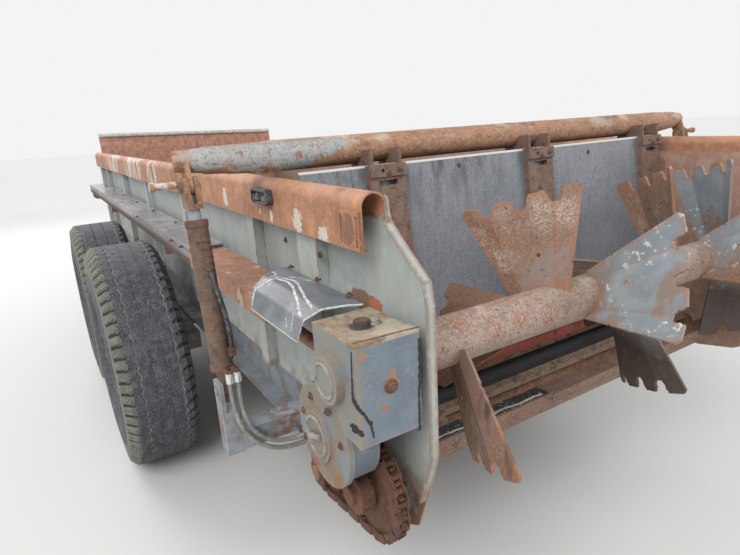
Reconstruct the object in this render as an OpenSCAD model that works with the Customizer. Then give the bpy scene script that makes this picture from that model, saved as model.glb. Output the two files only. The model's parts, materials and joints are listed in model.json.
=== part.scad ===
// Tandem-wheel box spreader with a moving slat floor, a sliding end gate and a paddle beater.
// X points forwards to the hitch, Y to the left and Z up. Stations are counted from the box's rear end.

/* [Box] */
// Length of the load box, from the rear end of its rails
box_len = 5040; // [4700:10:5400]
// Clear width between the side sheets
box_in_w = 1750; // [1650:10:1850]
// Thickness of the side, front and floor sheets
sheet_t = 5; // [4:1:8]
// Height of the floor's top face above the ground
floor_z = 720; // [710:1:735]
// Height of the side sheets' lower edge above the ground
side_foot_z = 805; // [795:1:815]
// Height of the rails' crown above the ground
rail_z = 1480; // [1440:5:1520]
// Width of the formed top rail
rail_w = 64; // [56:1:72]
// Height of the rail's outer face, crown included
rail_face = 128; // [110:1:150]
// Wall of the formed rail
rail_t = 4; // [3:1:6]
// Width of a side rib
rib_w = 70; // [50:1:100]
// Depth of a side rib
rib_d = 34; // [24:1:38]
// Distance between side ribs
rib_pitch = 950; // [850:10:1000]
// Rise of the front extension above the rails
ext_h = 175; // [120:5:220]

/* [Rear plates] */
// Thickness of the rear plates
plate_t = 6; // [5:1:10]
// Reach of the rear plates behind the rails
plate_reach = 160; // [130:5:190]
// Width of the flange along the rear plates' edge
plate_flange = 15; // [12:1:30]

/* [Chassis] */
// Height of the side sills
sill_h = 236; // [230:1:245]
// Flange width of the side sills
sill_w = 72; // [60:1:90]
// Wall of the side sills
sill_t = 7; // [5:1:10]
// Height of the lower cross members
cross_h = 50; // [40:1:55]
// Length of the tongue ahead of the box
tongue_len = 1340; // [1200:10:1500]
// Height of the hitch eye above the ground
hitch_z = 470; // [440:5:500]
// Radius of the hitch pin hole
hitch_hole_r = 16; // [12:0.5:20]
// Radius of the bore in the drive shaft's end yoke
pto_bore_r = 17.5; // [15:0.5:20]

/* [Wheels] */
// Radius of the rear tyres
tyre_rear_r = 554; // [540:1:562]
// Radius of the front tyres
tyre_front_r = 535; // [520:1:545]
// Width of a tyre
tyre_w = 336; // [300:2:350]
// Radius of the rims
rim_r = 254; // [240:1:270]
// Station of the rear axle
axle_rear_d = 1900; // [1850:5:1950]
// Distance between the axles
axle_gap = 1150; // [1140:5:1200]
// Distance of the wheels' middle from the centre plane
wheel_y = 1204; // [1195:1:1230]
// Radius of the wheel spindles
spindle_r = 35; // [30:1:40]

/* [Beater] */
// Station of the beater's axis
beater_d = 10; // [0:1:20]
// Height of the beater's axis
beater_z = 1090; // [1080:1:1100]
// Radius of the beater's tube
beater_tube_r = 62; // [55:1:68]
// Distance of the paddles' tips from the axis
paddle_reach = 320; // [300:1:323]
// Width of a paddle at its tip
paddle_tip_w = 356; // [320:1:360]
// Width of a paddle at its root
paddle_root_w = 150; // [130:1:170]
// Thickness of a paddle
paddle_t = 8; // [6:1:10]
// Fold of a paddle's wings
paddle_fold = 22; // [15:1:30]

/* [Gate] */
// Station of the lift pipe
pipe_d = 532; // [527:1:545]
// Height of the lift pipe
pipe_z = 1540; // [1530:1:1560]
// Radius of the lift pipe
pipe_r = 44.5; // [40:0.5:50]
// Half length of the lift pipe's straight part
pipe_half = 930; // [900:5:960]
// Lean of the gate, top forwards
gate_lean = 7; // [5:0.5:9]
// Height of the gate below the lift pipe
gate_h = 788; // [760:1:792]
// Distance of the lift cylinders from the centre plane
lift_y = 1150; // [1145:1:1160]
// Radius of a lift cylinder's barrel
barrel_r = 28.5; // [26:0.5:32]
// Radius of a lift rod
rod_r = 16; // [14:0.5:18]

/* [Slat floor] */
// Station of the floor's rear shaft
apron_d = 262; // [258:1:285]
// Radius of the floor chains' run round their shafts
apron_r = 48; // [44:1:50]
// Height of a slat
slat_h = 28; // [22:1:30]
// Distance between slats
slat_pitch = 330; // [280:10:400]

/* [Drive] */
// Distance of the drive line from the centre plane
drive_y = 985; // [980:1:990]
// Radius of the line shaft
line_r = 17.5; // [15:0.5:20]
// Teeth of the large sprocket
teeth_big = 25; // [23:1:28]
// Teeth of the small sprocket
teeth_small = 13; // [11:1:15]

/* [Hidden] */
$fn = 48;

// Running clearance of round fits, and the gap left between pieces that only seat
fit = 0.3;
eps = 0.01;

// Half widths across the box
y_in = box_in_w/2;
y_out = y_in + sheet_t;
rail_leg = 60;

// Colours
paint = [0.62, 0.66, 0.64];
slate = [0.38, 0.43, 0.50];
rust = [0.52, 0.32, 0.20];
dark_rust = [0.33, 0.22, 0.17];
rubber = [0.13, 0.13, 0.13];
steel = [0.60, 0.60, 0.58];
red = [0.62, 0.16, 0.12];

// Paddles: place across the machine, turn from upright towards the rear, and skew
PADDLE_Y = 0;
PADDLE_TURN = 1;
PADDLE_SKEW = 2;
paddles = [[700, 158, -68], [500, 247, -65], [360, 341, -51], [200, 68, 62], [50, 158, -65],
    [-110, 250, 62], [-250, 342, 62], [-400, 68, 62], [-550, 347, 62], [-690, 165, 62]];
paddle_root_z = 25;
// Fold lines of the wings, as fractions of the paddle's width from its middle
fold_at = 0.27;
fold_a = [paddle_root_w*fold_at, paddle_root_z];
fold_b = [paddle_tip_w*fold_at, paddle_reach];
fold_v = fold_b - fold_a;
// v turned about the unit vector k by the angle a
function turned(v, k, a) = v*cos(a) + cross(k, v)*sin(a) + k*(k*v)*(1 - cos(a));
// Cut-off corner of a paddle's tip
nip = [4, 12];
tips = [[paddle_tip_w/2 - nip[0], paddle_reach - nip[1]], [paddle_tip_w/2 - nip[1], paddle_reach]];
// Station of a folded wing's outer corner, from the beater's axis
function paddle_corner(p, side, face, tip) = let(
    w = turned([tip[0] - fold_b[0], face*paddle_t/2, tip[1] - fold_b[1]],
        unit([fold_v[0], 0, fold_v[1]]), paddle_fold),
    a = p[PADDLE_SKEW] - 90, t = p[PADDLE_TURN])
    (side*(fold_b[0] + w[0])*cos(a) - w[1]*sin(a))*cos(t) - (fold_b[1] + w[2])*sin(t);

// Rearmost and foremost reach, which centre the model on the origin
rear_reach = -min([for (p = paddles, side = [-1, 1], face = [-1, 1], tip = tips)
    paddle_corner(p, side, face, tip)]) - beater_d;
clevis_r = 32;
front_reach = box_len + tongue_len + clevis_r;
rear_x = (rear_reach - front_reach)/2;
function at(d) = rear_x + d;

beater_x = at(beater_d);
sill_lap = 14;
sill_top = side_foot_z + sill_lap;
sill_z = sill_top - sill_h;
sill_y = y_in - sill_w;
apron_x = at(apron_d);
chain_t = 12;
apron_z = floor_z + chain_t/2 + 2 - apron_r;
front_shaft_x = at(box_len - 130);

// Unit vector of v
function unit(v) = v/norm(v);
// Corners of a counter-clockwise outline moved inwards by d
function inset(p, d) = [for (i = [0:len(p) - 1]) let(
    a = p[(i + len(p) - 1) % len(p)], b = p[i], c = p[(i + 1) % len(p)],
    u = unit(b - a), v = unit(c - b), nu = [-u[1], u[0]], nv = [-v[1], v[0]])
    b + d/(1 + nu*nv)*(nu + nv)];

// A shape and its mirror image across the centre plane
module both() {
    children();
    mirror([0, 1, 0]) children();
}
// Extrudes a side view (x, z) from y0 to y1
module side_view(y0, y1) {
    translate([0, y1, 0]) rotate([90, 0, 0]) linear_extrude(y1 - y0) children();
}
// Extrudes a rear view (y, z) from x0 to x1
module rear_view(x0, x1) {
    translate([x0, 0, 0]) rotate([90, 0, 90]) linear_extrude(x1 - x0) children();
}
// A bar between two corners
module bar(a, b) {
    translate(a) cube(b - a);
}
// A round bar along Y
module rod_y(x, z, r, y0, y1) {
    translate([x, y1, z]) rotate([90, 0, 0]) cylinder(r = r, h = y1 - y0);
}

// Floor, sides and ends
floor_front = at(box_len - sheet_t);
floor_rear = apron_x - 22;
floor_notch = [30, 50];
joint_d = 340;
joint_w = 120;
// Floor sheet, notched round the rear shaft's chain wheels
module floor_panel() {
    color(dark_rust) difference() {
        bar([floor_rear, -sill_y, floor_z - sheet_t], [front_shaft_x - 60, sill_y, floor_z]);
        for (y = [-chain_y, chain_y]) bar([floor_rear - 1, y - floor_notch[1]/2, floor_z - sheet_t - 1],
            [apron_x + floor_notch[0], y + floor_notch[1]/2, floor_z + 1]);
    }
}
module hat(x, w) {
    difference() {
        bar([x - w/2, y_out, side_foot_z], [x + w/2, y_out + rib_d, rail_z - rail_leg]);
        bar([x - w/2 + sheet_t, y_out - 1, side_foot_z - 1],
            [x + w/2 - sheet_t, y_out + rib_d - sheet_t, rail_z - rail_leg + 1]);
    }
}
rib_first_d = box_len - 460;
rib_count = floor((rib_first_d - joint_d - 400)/rib_pitch) + 1;
module side() {
    bar([at(joint_d), y_in, side_foot_z], [at(box_len), y_out, rail_z - rail_leg]);
    for (i = [0:rib_count - 1]) hat(at(rib_first_d - i*rib_pitch), rib_w);
    hat(at(box_len) - rib_w/2, rib_w);
    difference() {
        hat(at(joint_d), joint_w);
        bar([at(joint_d) - joint_w, y_out - 1, side_foot_z - 1], [at(joint_d), y_in + plate_t, rail_z]);
    }
}
// Strips on a side sheet's inner face, behind and ahead of the gate's edge
guide_u = [-104, -54];
module gate_guides() {
    gate_place() for (u = guide_u) bar([u, y_in - 24, -gate_h + 70], [u + 6, y_in + 1, -150]);
}
module side_panels() {
    color(paint) both() {
        side();
        gate_guides();
    }
}
rail_lip = 14;
module rail_profile() {
    difference() {
        union() {
            translate([rail_w/2, -rail_w/2]) circle(d = rail_w);
            translate([0, -rail_face]) square([rail_w, rail_face - rail_w/2]);
        }
        translate([rail_w/2, -rail_w/2]) circle(d = rail_w - 2*rail_t);
        translate([rail_t, rail_t - rail_face]) square([rail_w - 2*rail_t, rail_face - rail_t - rail_w/2]);
        translate([-1, -rail_face - 1]) square([rail_w - rail_lip + 1, rail_t + 1 + eps]);
        translate([-1, -rail_face - 1]) square([rail_t + 1 + eps, rail_face - rail_leg + 1]);
    }
}
// Plate on a rail's rear end: stations of its ends and of its two slots
end_plate_d = [5, 92];
end_slot_d = [[10, 20], [80, 87]];
end_plate_t = 4;
module top_rails() {
    color(rust) both() difference() {
        union() {
            rear_view(at(0), at(box_len)) translate([y_in, rail_z]) rail_profile();
            bar([at(end_plate_d[0]), y_in + rail_w - 1, rail_z - rail_face + 2],
                [at(end_plate_d[1]), y_in + rail_w + end_plate_t, rail_z - rail_w/2 - 8]);
        }
        for (d = end_slot_d) bar([at(d[0]), y_in + rail_w - rail_t - 1, rail_z - rail_face + 10],
            [at(d[1]), y_in + rail_w + end_plate_t + 1, rail_z - rail_w/2 - 18]);
    }
}
module front_wall() {
    color(paint) bar([floor_front, -y_in, sill_z], [at(box_len), y_in, rail_z]);
}
ext_drop = 50;
module front_extension() {
    lean = 14;
    color(dark_rust) intersection() {
        side_view(-y_in, y_in) polygon([
            [floor_front, rail_z], [at(box_len), rail_z],
            [at(box_len) + lean, rail_z + ext_h*0.55], [at(box_len) + lean, rail_z + ext_h],
            [at(box_len) + lean - sheet_t, rail_z + ext_h],
            [floor_front + lean, rail_z + ext_h*0.55]]);
        rear_view(at(0), at(box_len) + 100) polygon([
            [-y_in, rail_z], [y_in, rail_z], [y_in, rail_z + ext_h], [-y_in, rail_z + ext_h - ext_drop]]);
    }
}

// Rear plates: the outline in side view, counter-clockwise from the front foot
plate_tab_d = 480;
plate_pts = [
    [at(plate_tab_d), sill_z], [at(plate_tab_d), side_foot_z],
    [at(joint_d), side_foot_z], [at(joint_d), rail_z - rail_leg],
    [at(-1), rail_z - rail_leg], [at(-1), rail_z - 10], [at(-8), rail_z - 16],
    [at(-0.12*plate_reach), rail_z - 62], [at(-0.41*plate_reach), rail_z - 102],
    [at(-0.94*plate_reach), rail_z - 168], [at(-plate_reach), rail_z - 218], [at(-plate_reach), 920],
    [at(-130), 825], [at(-80), 690], [at(60), 610], [at(200), sill_z]];
module rear_plate() {
    difference() {
        side_view(y_in, y_in + plate_t) polygon(plate_pts);
        rod_y(beater_x, beater_z, 34, y_in - 1, y_in + plate_t + 1);
        rod_y(apron_x, apron_z, 28, y_in - 1, y_in + plate_t + 1);
    }
    difference() {
        side_view(y_in + plate_t, y_in + plate_t + plate_flange) difference() {
            polygon(plate_pts);
            polygon(inset(plate_pts, plate_t));
            translate([at(-20), 0]) square([joint_d*2, rail_z]);
            translate([at(-200), 0]) square([joint_d*2, 780]);
        }
    }
}
module rear_plates() {
    color(paint) both() rear_plate();
}

// Chassis
sill_rear = joint_d + joint_w/2;
module sills() {
    color(slate) both() rear_view(at(sill_rear), floor_front) difference() {
        translate([sill_y, sill_z]) square([sill_w, sill_h]);
        translate([sill_y + sill_t, sill_z + sill_t]) square([sill_w, sill_h - 2*sill_t]);
    }
}
bearer_h = 25;
bearer_d = [620, 1250, 1900, 2475, 3050, 3700, 4350, 4780];
cross_d = [1500, 3450, 4300, 4960];
// Bearers under the floor sheet and cross members under the sills
module cross_members() {
    color(slate) {
        for (d = bearer_d)
            bar([at(d) - 30, -sill_y, floor_z - sheet_t - bearer_h], [at(d) + 30, sill_y, floor_z - sheet_t]);
        for (d = cross_d) bar([at(d) - 40, -y_in, sill_z - cross_h], [at(d) + 40, y_in, sill_z]);
    }
}
beam_w = 60;
beam_h = 110;
tongue_root_d = 4180;
tongue_root_y = 520;
tongue_tip_y = 55;
clevis_len = 150;
beam_z = sill_z - cross_h;
module tongue_beam() {
    tip = at(box_len + tongue_len - clevis_len);
    y0 = tongue_root_y;
    y1 = tongue_tip_y;
    translate([0, 0, beam_z - beam_h]) linear_extrude(beam_h) polygon([
        [at(tongue_root_d), y0], [tip, y1], [tip, y1 + beam_w], [at(tongue_root_d), y0 + beam_w]]);
}
// Outer face of the left tongue beam at station d
function beam_outer_y(d) = tongue_root_y + beam_w
    - (d - tongue_root_d)/(box_len + tongue_len - clevis_len - tongue_root_d)*(tongue_root_y - tongue_tip_y);
module tongue() {
    color(slate) both() tongue_beam();
}
ear_t = 20;
ear_gap = 56;
module hitch_clevis() {
    tip = at(box_len + tongue_len - clevis_len);
    eye = at(box_len + tongue_len);
    half = tongue_tip_y + beam_w;
    color(rust) {
        bar([tip, -half, beam_z - beam_h], [tip + 20, half, beam_z]);
        difference() {
            for (z = [hitch_z - ear_gap/2 - ear_t, hitch_z + ear_gap/2]) translate([0, 0, z]) {
                bar([tip + 20, -clevis_r, 0], [eye, clevis_r, ear_t]);
                translate([eye, 0, 0]) cylinder(r = clevis_r, h = ear_t);
            }
            translate([eye, 0, hitch_z - 100]) cylinder(r = hitch_hole_r, h = 200);
        }
    }
}
jack_d = 5700;
jack_r = 30;
jack_pad = 16;
beam_turn = atan2(tongue_root_y - tongue_tip_y, box_len + tongue_len - clevis_len - tongue_root_d);
jack_y = beam_outer_y(jack_d) + jack_pad + jack_r;
module jack() {
    color(rust) {
        translate([at(jack_d), beam_outer_y(jack_d), 0]) rotate(-beam_turn)
            bar([-60, 0, beam_z - beam_h], [60, jack_pad, beam_z]);
        translate([at(jack_d), jack_y, 0]) {
            cylinder(r = 95, h = 12);
            translate([0, 0, 12]) cylinder(r = 24, h = 300);
            translate([0, 0, 200]) cylinder(r = jack_r, h = 620);
            translate([0, 0, 820]) cylinder(r = 38, h = 60);
            bar([-10, 0, 840], [10, 160, 852]);
            translate([0, 150, 852]) cylinder(r = 10, h = 90);
            bar([-24, -jack_r - jack_pad + 8, beam_z - beam_h + 10], [24, 0, beam_z - 10]);
        }
    }
}

// Axle and walking beams
axle_mid_d = axle_rear_d + axle_gap/2;
axle_r = 40;
axle_z = sill_z - axle_r - 14;
walk_y0 = 900;
walk_w = 70;
module axle() {
    color(slate) {
        rod_y(at(axle_mid_d), axle_z, axle_r, -(walk_y0 + walk_w + 20), walk_y0 + walk_w + 20);
        both() bar([at(axle_mid_d) - 120, sill_y, axle_z - 60], [at(axle_mid_d) + 120, y_in, sill_z]);
    }
}
module walking_beam() {
    rear = [at(axle_rear_d), tyre_rear_r];
    front = [at(axle_rear_d + axle_gap), tyre_front_r];
    mid = [at(axle_mid_d), axle_z];
    difference() {
        union() {
            side_view(walk_y0, walk_y0 + walk_w) polygon([
                rear + [-60, -45], mid + [-130, -85], mid + [130, -85], front + [60, -45],
                front + [60, 45], mid + [100, 75], mid + [-100, 75], rear + [-60, 45]]);
            for (p = [rear, front]) rod_y(p[0], p[1], spindle_r, walk_y0 + 10, wheel_y + 95);
            for (p = [rear, front]) rod_y(p[0], p[1], spindle_r + 14, walk_y0 + walk_w, wheel_y - 90);
        }
        rod_y(mid[0], mid[1], axle_r + fit, walk_y0 - 1, walk_y0 + walk_w + 1);
    }
}
module walking_beams() {
    color(slate) both() walking_beam();
}

// Wheels
bead_y = 96;
wheel_fn = 28;
module tyre(r, y) {
    hw = tyre_w/2;
    side = (rim_r + r)/2;
    color(rubber) translate([0, y, r]) rotate([90, 0, 0]) rotate_extrude($fn = wheel_fn)
        polygon([
            [rim_r + fit, -bead_y], [rim_r + 40, -bead_y - 30], [side, -hw], [r - 32, -hw*0.92],
            [r, -hw*0.74], [r, hw*0.74], [r - 32, hw*0.92], [side, hw], [rim_r + 40, bead_y + 30],
            [rim_r + fit, bead_y]]);
}
hub_r = 78;
module rim(r, side) {
    b = bead_y + fit;
    color(slate) translate([0, side*wheel_y, r]) rotate([-90*side, 0, 0]) {
        difference() {
            rotate_extrude($fn = wheel_fn) polygon([
                [hub_r - 5, -6], [rim_r - 90, 22], [rim_r - 24, 0], [rim_r - 12, -b + 6],
                [rim_r - 6, -b - 8], [rim_r - 6, -b - 22], [rim_r, -b - 22], [rim_r, b + 22],
                [rim_r - 6, b + 22], [rim_r - 6, b + 8],
                [rim_r - 12, b - 6], [rim_r - 12, 10], [rim_r - 90, 32], [hub_r - 5, 4]]);
            for (k = [0:7]) rotate(k*45) translate([rim_r - 72, 0, -10]) cylinder(r = 22, h = 80);
        }
        difference() {
            union() {
                translate([0, 0, -85]) cylinder(r = hub_r, h = 190);
                translate([0, 0, -12]) cylinder(r = hub_r + 50, h = 14);
                translate([0, 0, 105]) cylinder(r = 48, h = 22);
            }
            translate([0, 0, -86]) cylinder(r = spindle_r + fit, h = 184);
        }
    }
}
module wheel_tyre(front, side) {
    translate([at(axle_rear_d + (front ? axle_gap : 0)), 0, 0])
        tyre(front ? tyre_front_r : tyre_rear_r, side*wheel_y);
}
module wheel_rim(front, side) {
    translate([at(axle_rear_d + (front ? axle_gap : 0)), 0, 0])
        rim(front ? tyre_front_r : tyre_rear_r, side);
}

// Hoses: points of their routes as station, Y and Z, from the barrel's ports to the joint post
hose_r = 7;
hose_outer_pts = [
    [400, 1150, 955], [400, 1150, 922], [400, 1148, 890], [400, 1144, 858], [400, 1137, 827],
    [400, 1126, 797], [400, 1110, 769], [400, 1089, 744], [400, 1063, 723], [400, 1033, 708],
    [400, 1001, 700], [400, 968, 697], [400, 937, 697], [400, 915, 697]];
hose_inner_pts = [
    [400, 1128, 955], [400, 1128, 924], [400, 1127, 894], [400, 1124, 864], [400, 1118, 835],
    [400, 1108, 807], [400, 1094, 782], [400, 1075, 760], [400, 1051, 742], [400, 1023, 730],
    [400, 993, 724], [400, 963, 721], [400, 937, 720], [400, 915, 720]];
// Ring i of a tube of radius r along the points p, with n sides
function ring(p, i, r, n) = let(
    a = p[max(i - 1, 0)], b = p[min(i + 1, len(p) - 1)],
    t = i == 0 ? [0, 0, -1] : i == len(p) - 1 ? [0, -1, 0] : unit(b - a),
    u = unit(cross(t, [1, 0, 0])), v = cross(t, u))
    [for (k = [0:n - 1]) p[i] + r*(cos(k*360/n)*u + sin(k*360/n)*v)];
module tube(p, r, n) {
    m = len(p);
    polyhedron([for (i = [0:m - 1]) each ring(p, i, r, n)], concat(
        [[for (k = [0:n - 1]) k]],
        [for (i = [0:m - 2], k = [0:n - 1])
            [i*n + k, (i + 1)*n + k, (i + 1)*n + (k + 1) % n, i*n + (k + 1) % n]],
        [[for (k = [0:n - 1]) m*n - 1 - k]]));
}
module hose_outer() {
    color(rubber) tube([for (p = hose_outer_pts) [at(p[0]), p[1], p[2]]], hose_r, 10);
}
module hose_inner() {
    color(rubber) tube([for (p = hose_inner_pts) [at(p[0]), p[1], p[2]]], hose_r, 10);
}
// Elbow on the barrel's port above a hose's first point, and the fitting at its last point
module hose_ends(p) {
    a = p[0];
    b = p[len(p) - 1];
    translate([at(a[0]), a[1], a[2]]) cylinder(r = 9, h = 34);
    translate([at(a[0]), a[1], a[2] + 25]) rotate([0, 90, 0]) cylinder(r = 8, h = 52);
    translate([at(b[0]), b[1], b[2]]) rotate([90, 0, 0]) cylinder(r = 9, h = b[1] - y_in - plate_t);
}
module hose_fittings() {
    color(steel) difference() {
        for (p = [hose_outer_pts, hose_inner_pts]) hose_ends(p);
        gate_place() translate([0, lift_y, barrel_low - 20])
            cylinder(r = barrel_r + fit, h = barrel_top - barrel_low);
    }
}

// Slat floor
slat_half = sill_y - 18;
chain_y = 560;
chain_w = 34;
slat_w = 40;
slat_t = 6;
run_top = apron_z + apron_r;
run_low = apron_z - apron_r;
// First slats of the top and the return run, ahead of the rear shaft
slat_first = [140, 60];
slat_count = floor((front_shaft_x - apron_x - max(slat_first) - slat_w)/slat_pitch);
// Turn of the rearmost slat round the rear shaft
slat_turn = 22;
module slat() {
    side_view(-slat_half, slat_half) polygon([
        [-slat_w/2, 0], [slat_w/2, 0], [slat_w/2, slat_t], [slat_t - slat_w/2, slat_t],
        [slat_t - slat_w/2, slat_h], [-slat_w/2, slat_h]]);
}
module floor_run(z) {
    for (y = [-chain_y, chain_y])
        bar([apron_x, y - chain_w/2, z - chain_t/2], [front_shaft_x, y + chain_w/2, z + chain_t/2]);
}
// Half turn of the floor's chain round a shaft: side -1 at the rear and 1 at the front
module floor_turn(x, y, side) {
    translate([x, 0, apron_z]) intersection() {
        difference() {
            rod_y(0, 0, apron_r + chain_t/2, y - chain_w/2, y + chain_w/2);
            rod_y(0, 0, apron_r - chain_t/2, y - chain_w, y + chain_w);
        }
        bar([side < 0 ? -100 : 0, y - chain_w, -100], [side < 0 ? 0 : 100, y + chain_w, 100]);
    }
}
// Top run of chains and slats, with its turns round both shafts
module floor_top_run() {
    color(dark_rust) {
        floor_run(run_top);
        for (y = [-chain_y, chain_y]) {
            floor_turn(apron_x, y, -1);
            floor_turn(front_shaft_x, y, 1);
        }
        for (i = [0:slat_count]) translate([
            apron_x + slat_first[0] + i*slat_pitch, 0, run_top + chain_t/2 - slat_t]) slat();
        translate([apron_x, 0, apron_z]) rotate([0, -slat_turn, 0])
            translate([0, 0, apron_r + chain_t/2 - 2]) slat();
    }
}
module floor_return_run() {
    color(dark_rust) {
        floor_run(run_low);
        for (i = [0:slat_count]) translate([
            apron_x + slat_first[1] + i*slat_pitch, 0, run_low - chain_t/2 + slat_t])
            mirror([0, 0, 1]) slat();
    }
}
apron_shaft_r = 22;
drive_y_mid = 945;
module apron_shafts() {
    color(rust) {
        rod_y(apron_x, apron_z, apron_shaft_r, -(y_in + plate_t + 30), drive_y_mid + 40);
        rod_y(front_shaft_x, apron_z, apron_shaft_r, -sill_y, sill_y);
        for (x = [apron_x, front_shaft_x], y = [-chain_y, chain_y])
            rod_y(x, apron_z, apron_r - chain_t/2 - fit, y - 14, y + 14);
    }
}
// Cross beam at the floor's rear end: its stations, heights, and the strip that covers part of its edge
beam_d = [122, 158];
beam_low = 663;
lip_d = [110, 184];
lip_end_y = 180;
module rear_beam() {
    color(rust) {
        bar([at(beam_d[0]), -y_in, beam_low], [at(beam_d[1]), y_in, floor_z - sheet_t]);
        bar([at(beam_d[0]), -y_in, floor_z - sheet_t], [at(lip_d[1]), y_in, floor_z]);
        bar([at(lip_d[0]), -y_in, floor_z], [at(beam_d[1]), lip_end_y, floor_z + sheet_t]);
        bar([at(lip_d[0]), -y_in, floor_z - 22], [at(beam_d[0]), lip_end_y, floor_z + sheet_t]);
    }
}

// Drive line along the left side
shield_z = 1195;
shield_out = 1050;
shield_front = 4850;
shield_rear_end = 1120;
shield_step = 14;
module shield_profile(z, drop) {
    polygon([
        [y_out + rib_d, z - 34], [y_out + rib_d + 4, z - 34], [y_out + rib_d + 4, z - 4],
        [shield_out - 4, z - 4], [shield_out - 4, z - drop], [shield_out, z - drop],
        [shield_out, z], [y_out + rib_d, z]]);
}
module shaft_shield() {
    color(steel) rear_view(at(shield_rear_end), at(shield_front)) shield_profile(shield_z, 66);
}
module shield_rear() {
    color(rust) rear_view(at(joint_d), at(shield_rear_end - 1)) shield_profile(shield_z - shield_step, 60);
}
// Bent rubber flap: points of its outer face as Y and Z, from the side post outwards, and its plan
flap_t = 6;
flap_pts = [[y_out + rib_d + fit, 1224], [955, 1229], [1010, 1228], [1052, 1208], [1070, 1157]];
flap_plan = [[50, 900], [50, 925], [96, 1085], [386, 1085], [482, 930], [482, 900]];
module shield_flap() {
    n = len(flap_pts);
    color(rubber) intersection() {
        rear_view(at(0), at(500)) polygon(concat(flap_pts,
            [for (i = [n - 1:-1:0]) let(
                a = flap_pts[max(i - 1, 0)], b = flap_pts[min(i + 1, n - 1)], u = unit(b - a))
                flap_pts[i] + flap_t*[i == 0 ? 0 : u[1], i == 0 ? -1 : -u[0]]]));
        translate([0, 0, 1100]) linear_extrude(200) polygon([for (p = flap_plan) [at(p[0]), p[1]]]);
    }
}
line_z = beater_z + 10;
hanger_d = [rib_first_d - 3*rib_pitch, rib_first_d - rib_pitch, box_len - rib_w + 10];
joint_x = at(box_len) + 90;
module line_shaft() {
    color(rust) {
        translate([case_x1 + 1, drive_y, line_z]) rotate([0, 90, 0])
            cylinder(r = line_r, h = joint_x - 50 - case_x1 - 1);
        translate([joint_x - 62, drive_y, line_z]) rotate([0, 90, 0]) cylinder(r = 32, h = 34);
        for (d = hanger_d) difference() {
            bar([at(d), y_out + rib_d, line_z - 40], [at(d) + 12, drive_y + 40, line_z + 40]);
            translate([at(d) - 1, drive_y, line_z]) rotate([0, 90, 0]) cylinder(r = line_r - 1, h = 14);
        }
    }
}
pto_end_d = box_len + tongue_len - 80;
pto_y = 170;
pto_z = 660;
pto_a = [joint_x, drive_y, line_z];
pto_v = [at(pto_end_d), pto_y, pto_z] - pto_a;
pto_len = norm(pto_v);
pto_guard_r = 36;
module pto_place() {
    translate(pto_a) rotate([0, acos(pto_v[2]/pto_len), atan2(pto_v[1], pto_v[0])]) children();
}
module pto_shaft() {
    color(rubber) pto_place() difference() {
        union() {
            sphere(r = 28);
            cylinder(r = 20, h = 60);
            translate([0, 0, 45]) cylinder(r1 = 62, r2 = 44, h = 110);
            translate([0, 0, 155]) cylinder(r = 44, h = pto_len*0.6 - 155);
            translate([0, 0, pto_len*0.6]) cylinder(r = pto_guard_r, h = pto_len*0.4 - 130);
            translate([0, 0, pto_len - 130]) cylinder(r1 = pto_guard_r, r2 = 60, h = 90);
            translate([0, 0, pto_len - 60]) cylinder(r = 30, h = 60);
        }
        translate([0, 0, pto_len - 80]) cylinder(r = pto_bore_r, h = 81);
    }
}
holder_k = 0.8;
module pto_holder() {
    p = pto_a + holder_k*pto_v;
    d = p[0] - rear_x;
    inner = beam_outer_y(d) - beam_w;
    color(rust) difference() {
        rear_view(p[0] - 6, p[0] + 6) polygon([
            [inner + 8, beam_z], [inner + beam_w - 8, beam_z], [p[1] + 58, p[2] - 30], [p[1] + 62, p[2] + 12],
            [p[1] - 62, p[2] + 12], [p[1] - 50, p[2] - 40]]);
        pto_place() cylinder(r = pto_guard_r + fit, h = pto_len);
    }
}
round_y0 = 975;
case_x0 = at(-145);
case_x1 = at(35);
case_y0 = 910;
case_y1 = 1055;
case_z0 = 1000;
case_z1 = 1218;
round_x = at(32);
round_z = 946;
round_r = 122;
boss_d = -45;
boss_z = 1118;
out_x = at(16);
out_z = 776;
module gear_case() {
    color(slate) difference() {
        union() {
            bar([case_x0, case_y0, 1055], [case_x1, case_y1, case_z1]);
            bar([case_x0, round_y0, case_z0], [case_x1, case_y1, case_z1]);
            rod_y(round_x, round_z, round_r - 8, round_y0, 1045);
            rod_y(round_x, round_z, round_r, 1042, 1056);
            rod_y(round_x + 16, round_z - 8, 62, 1056, 1064);
            rod_y(at(boss_d), boss_z, 52, case_y1, 1076);
            rod_y(beater_x, beater_z, 60, y_in + plate_t, case_y0);
            translate([case_x1, drive_y, line_z]) rotate([0, 90, 0]) cylinder(r = 40, h = 14);
            translate([case_x0 + 90, 985, case_z1]) cylinder(r = 18, h = 12);
            side_view(case_y0, case_y1 + 4) polygon([
                [case_x0 - 5, case_z0 + 4], [case_x0 + 1, case_z0 + 4], [case_x0 + 1, case_z1 - 1],
                [case_x0 + 30, case_z1 - 1], [case_x0 + 30, case_z1 + 5], [case_x0 - 5, case_z1 + 5]]);
        }
        rod_y(beater_x, beater_z, 25 + fit, y_in, case_y0 + 55);
        translate([case_x1, drive_y, line_z]) rotate([0, 90, 0]) cylinder(r = line_r + fit, h = 15);
    }
}
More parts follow.
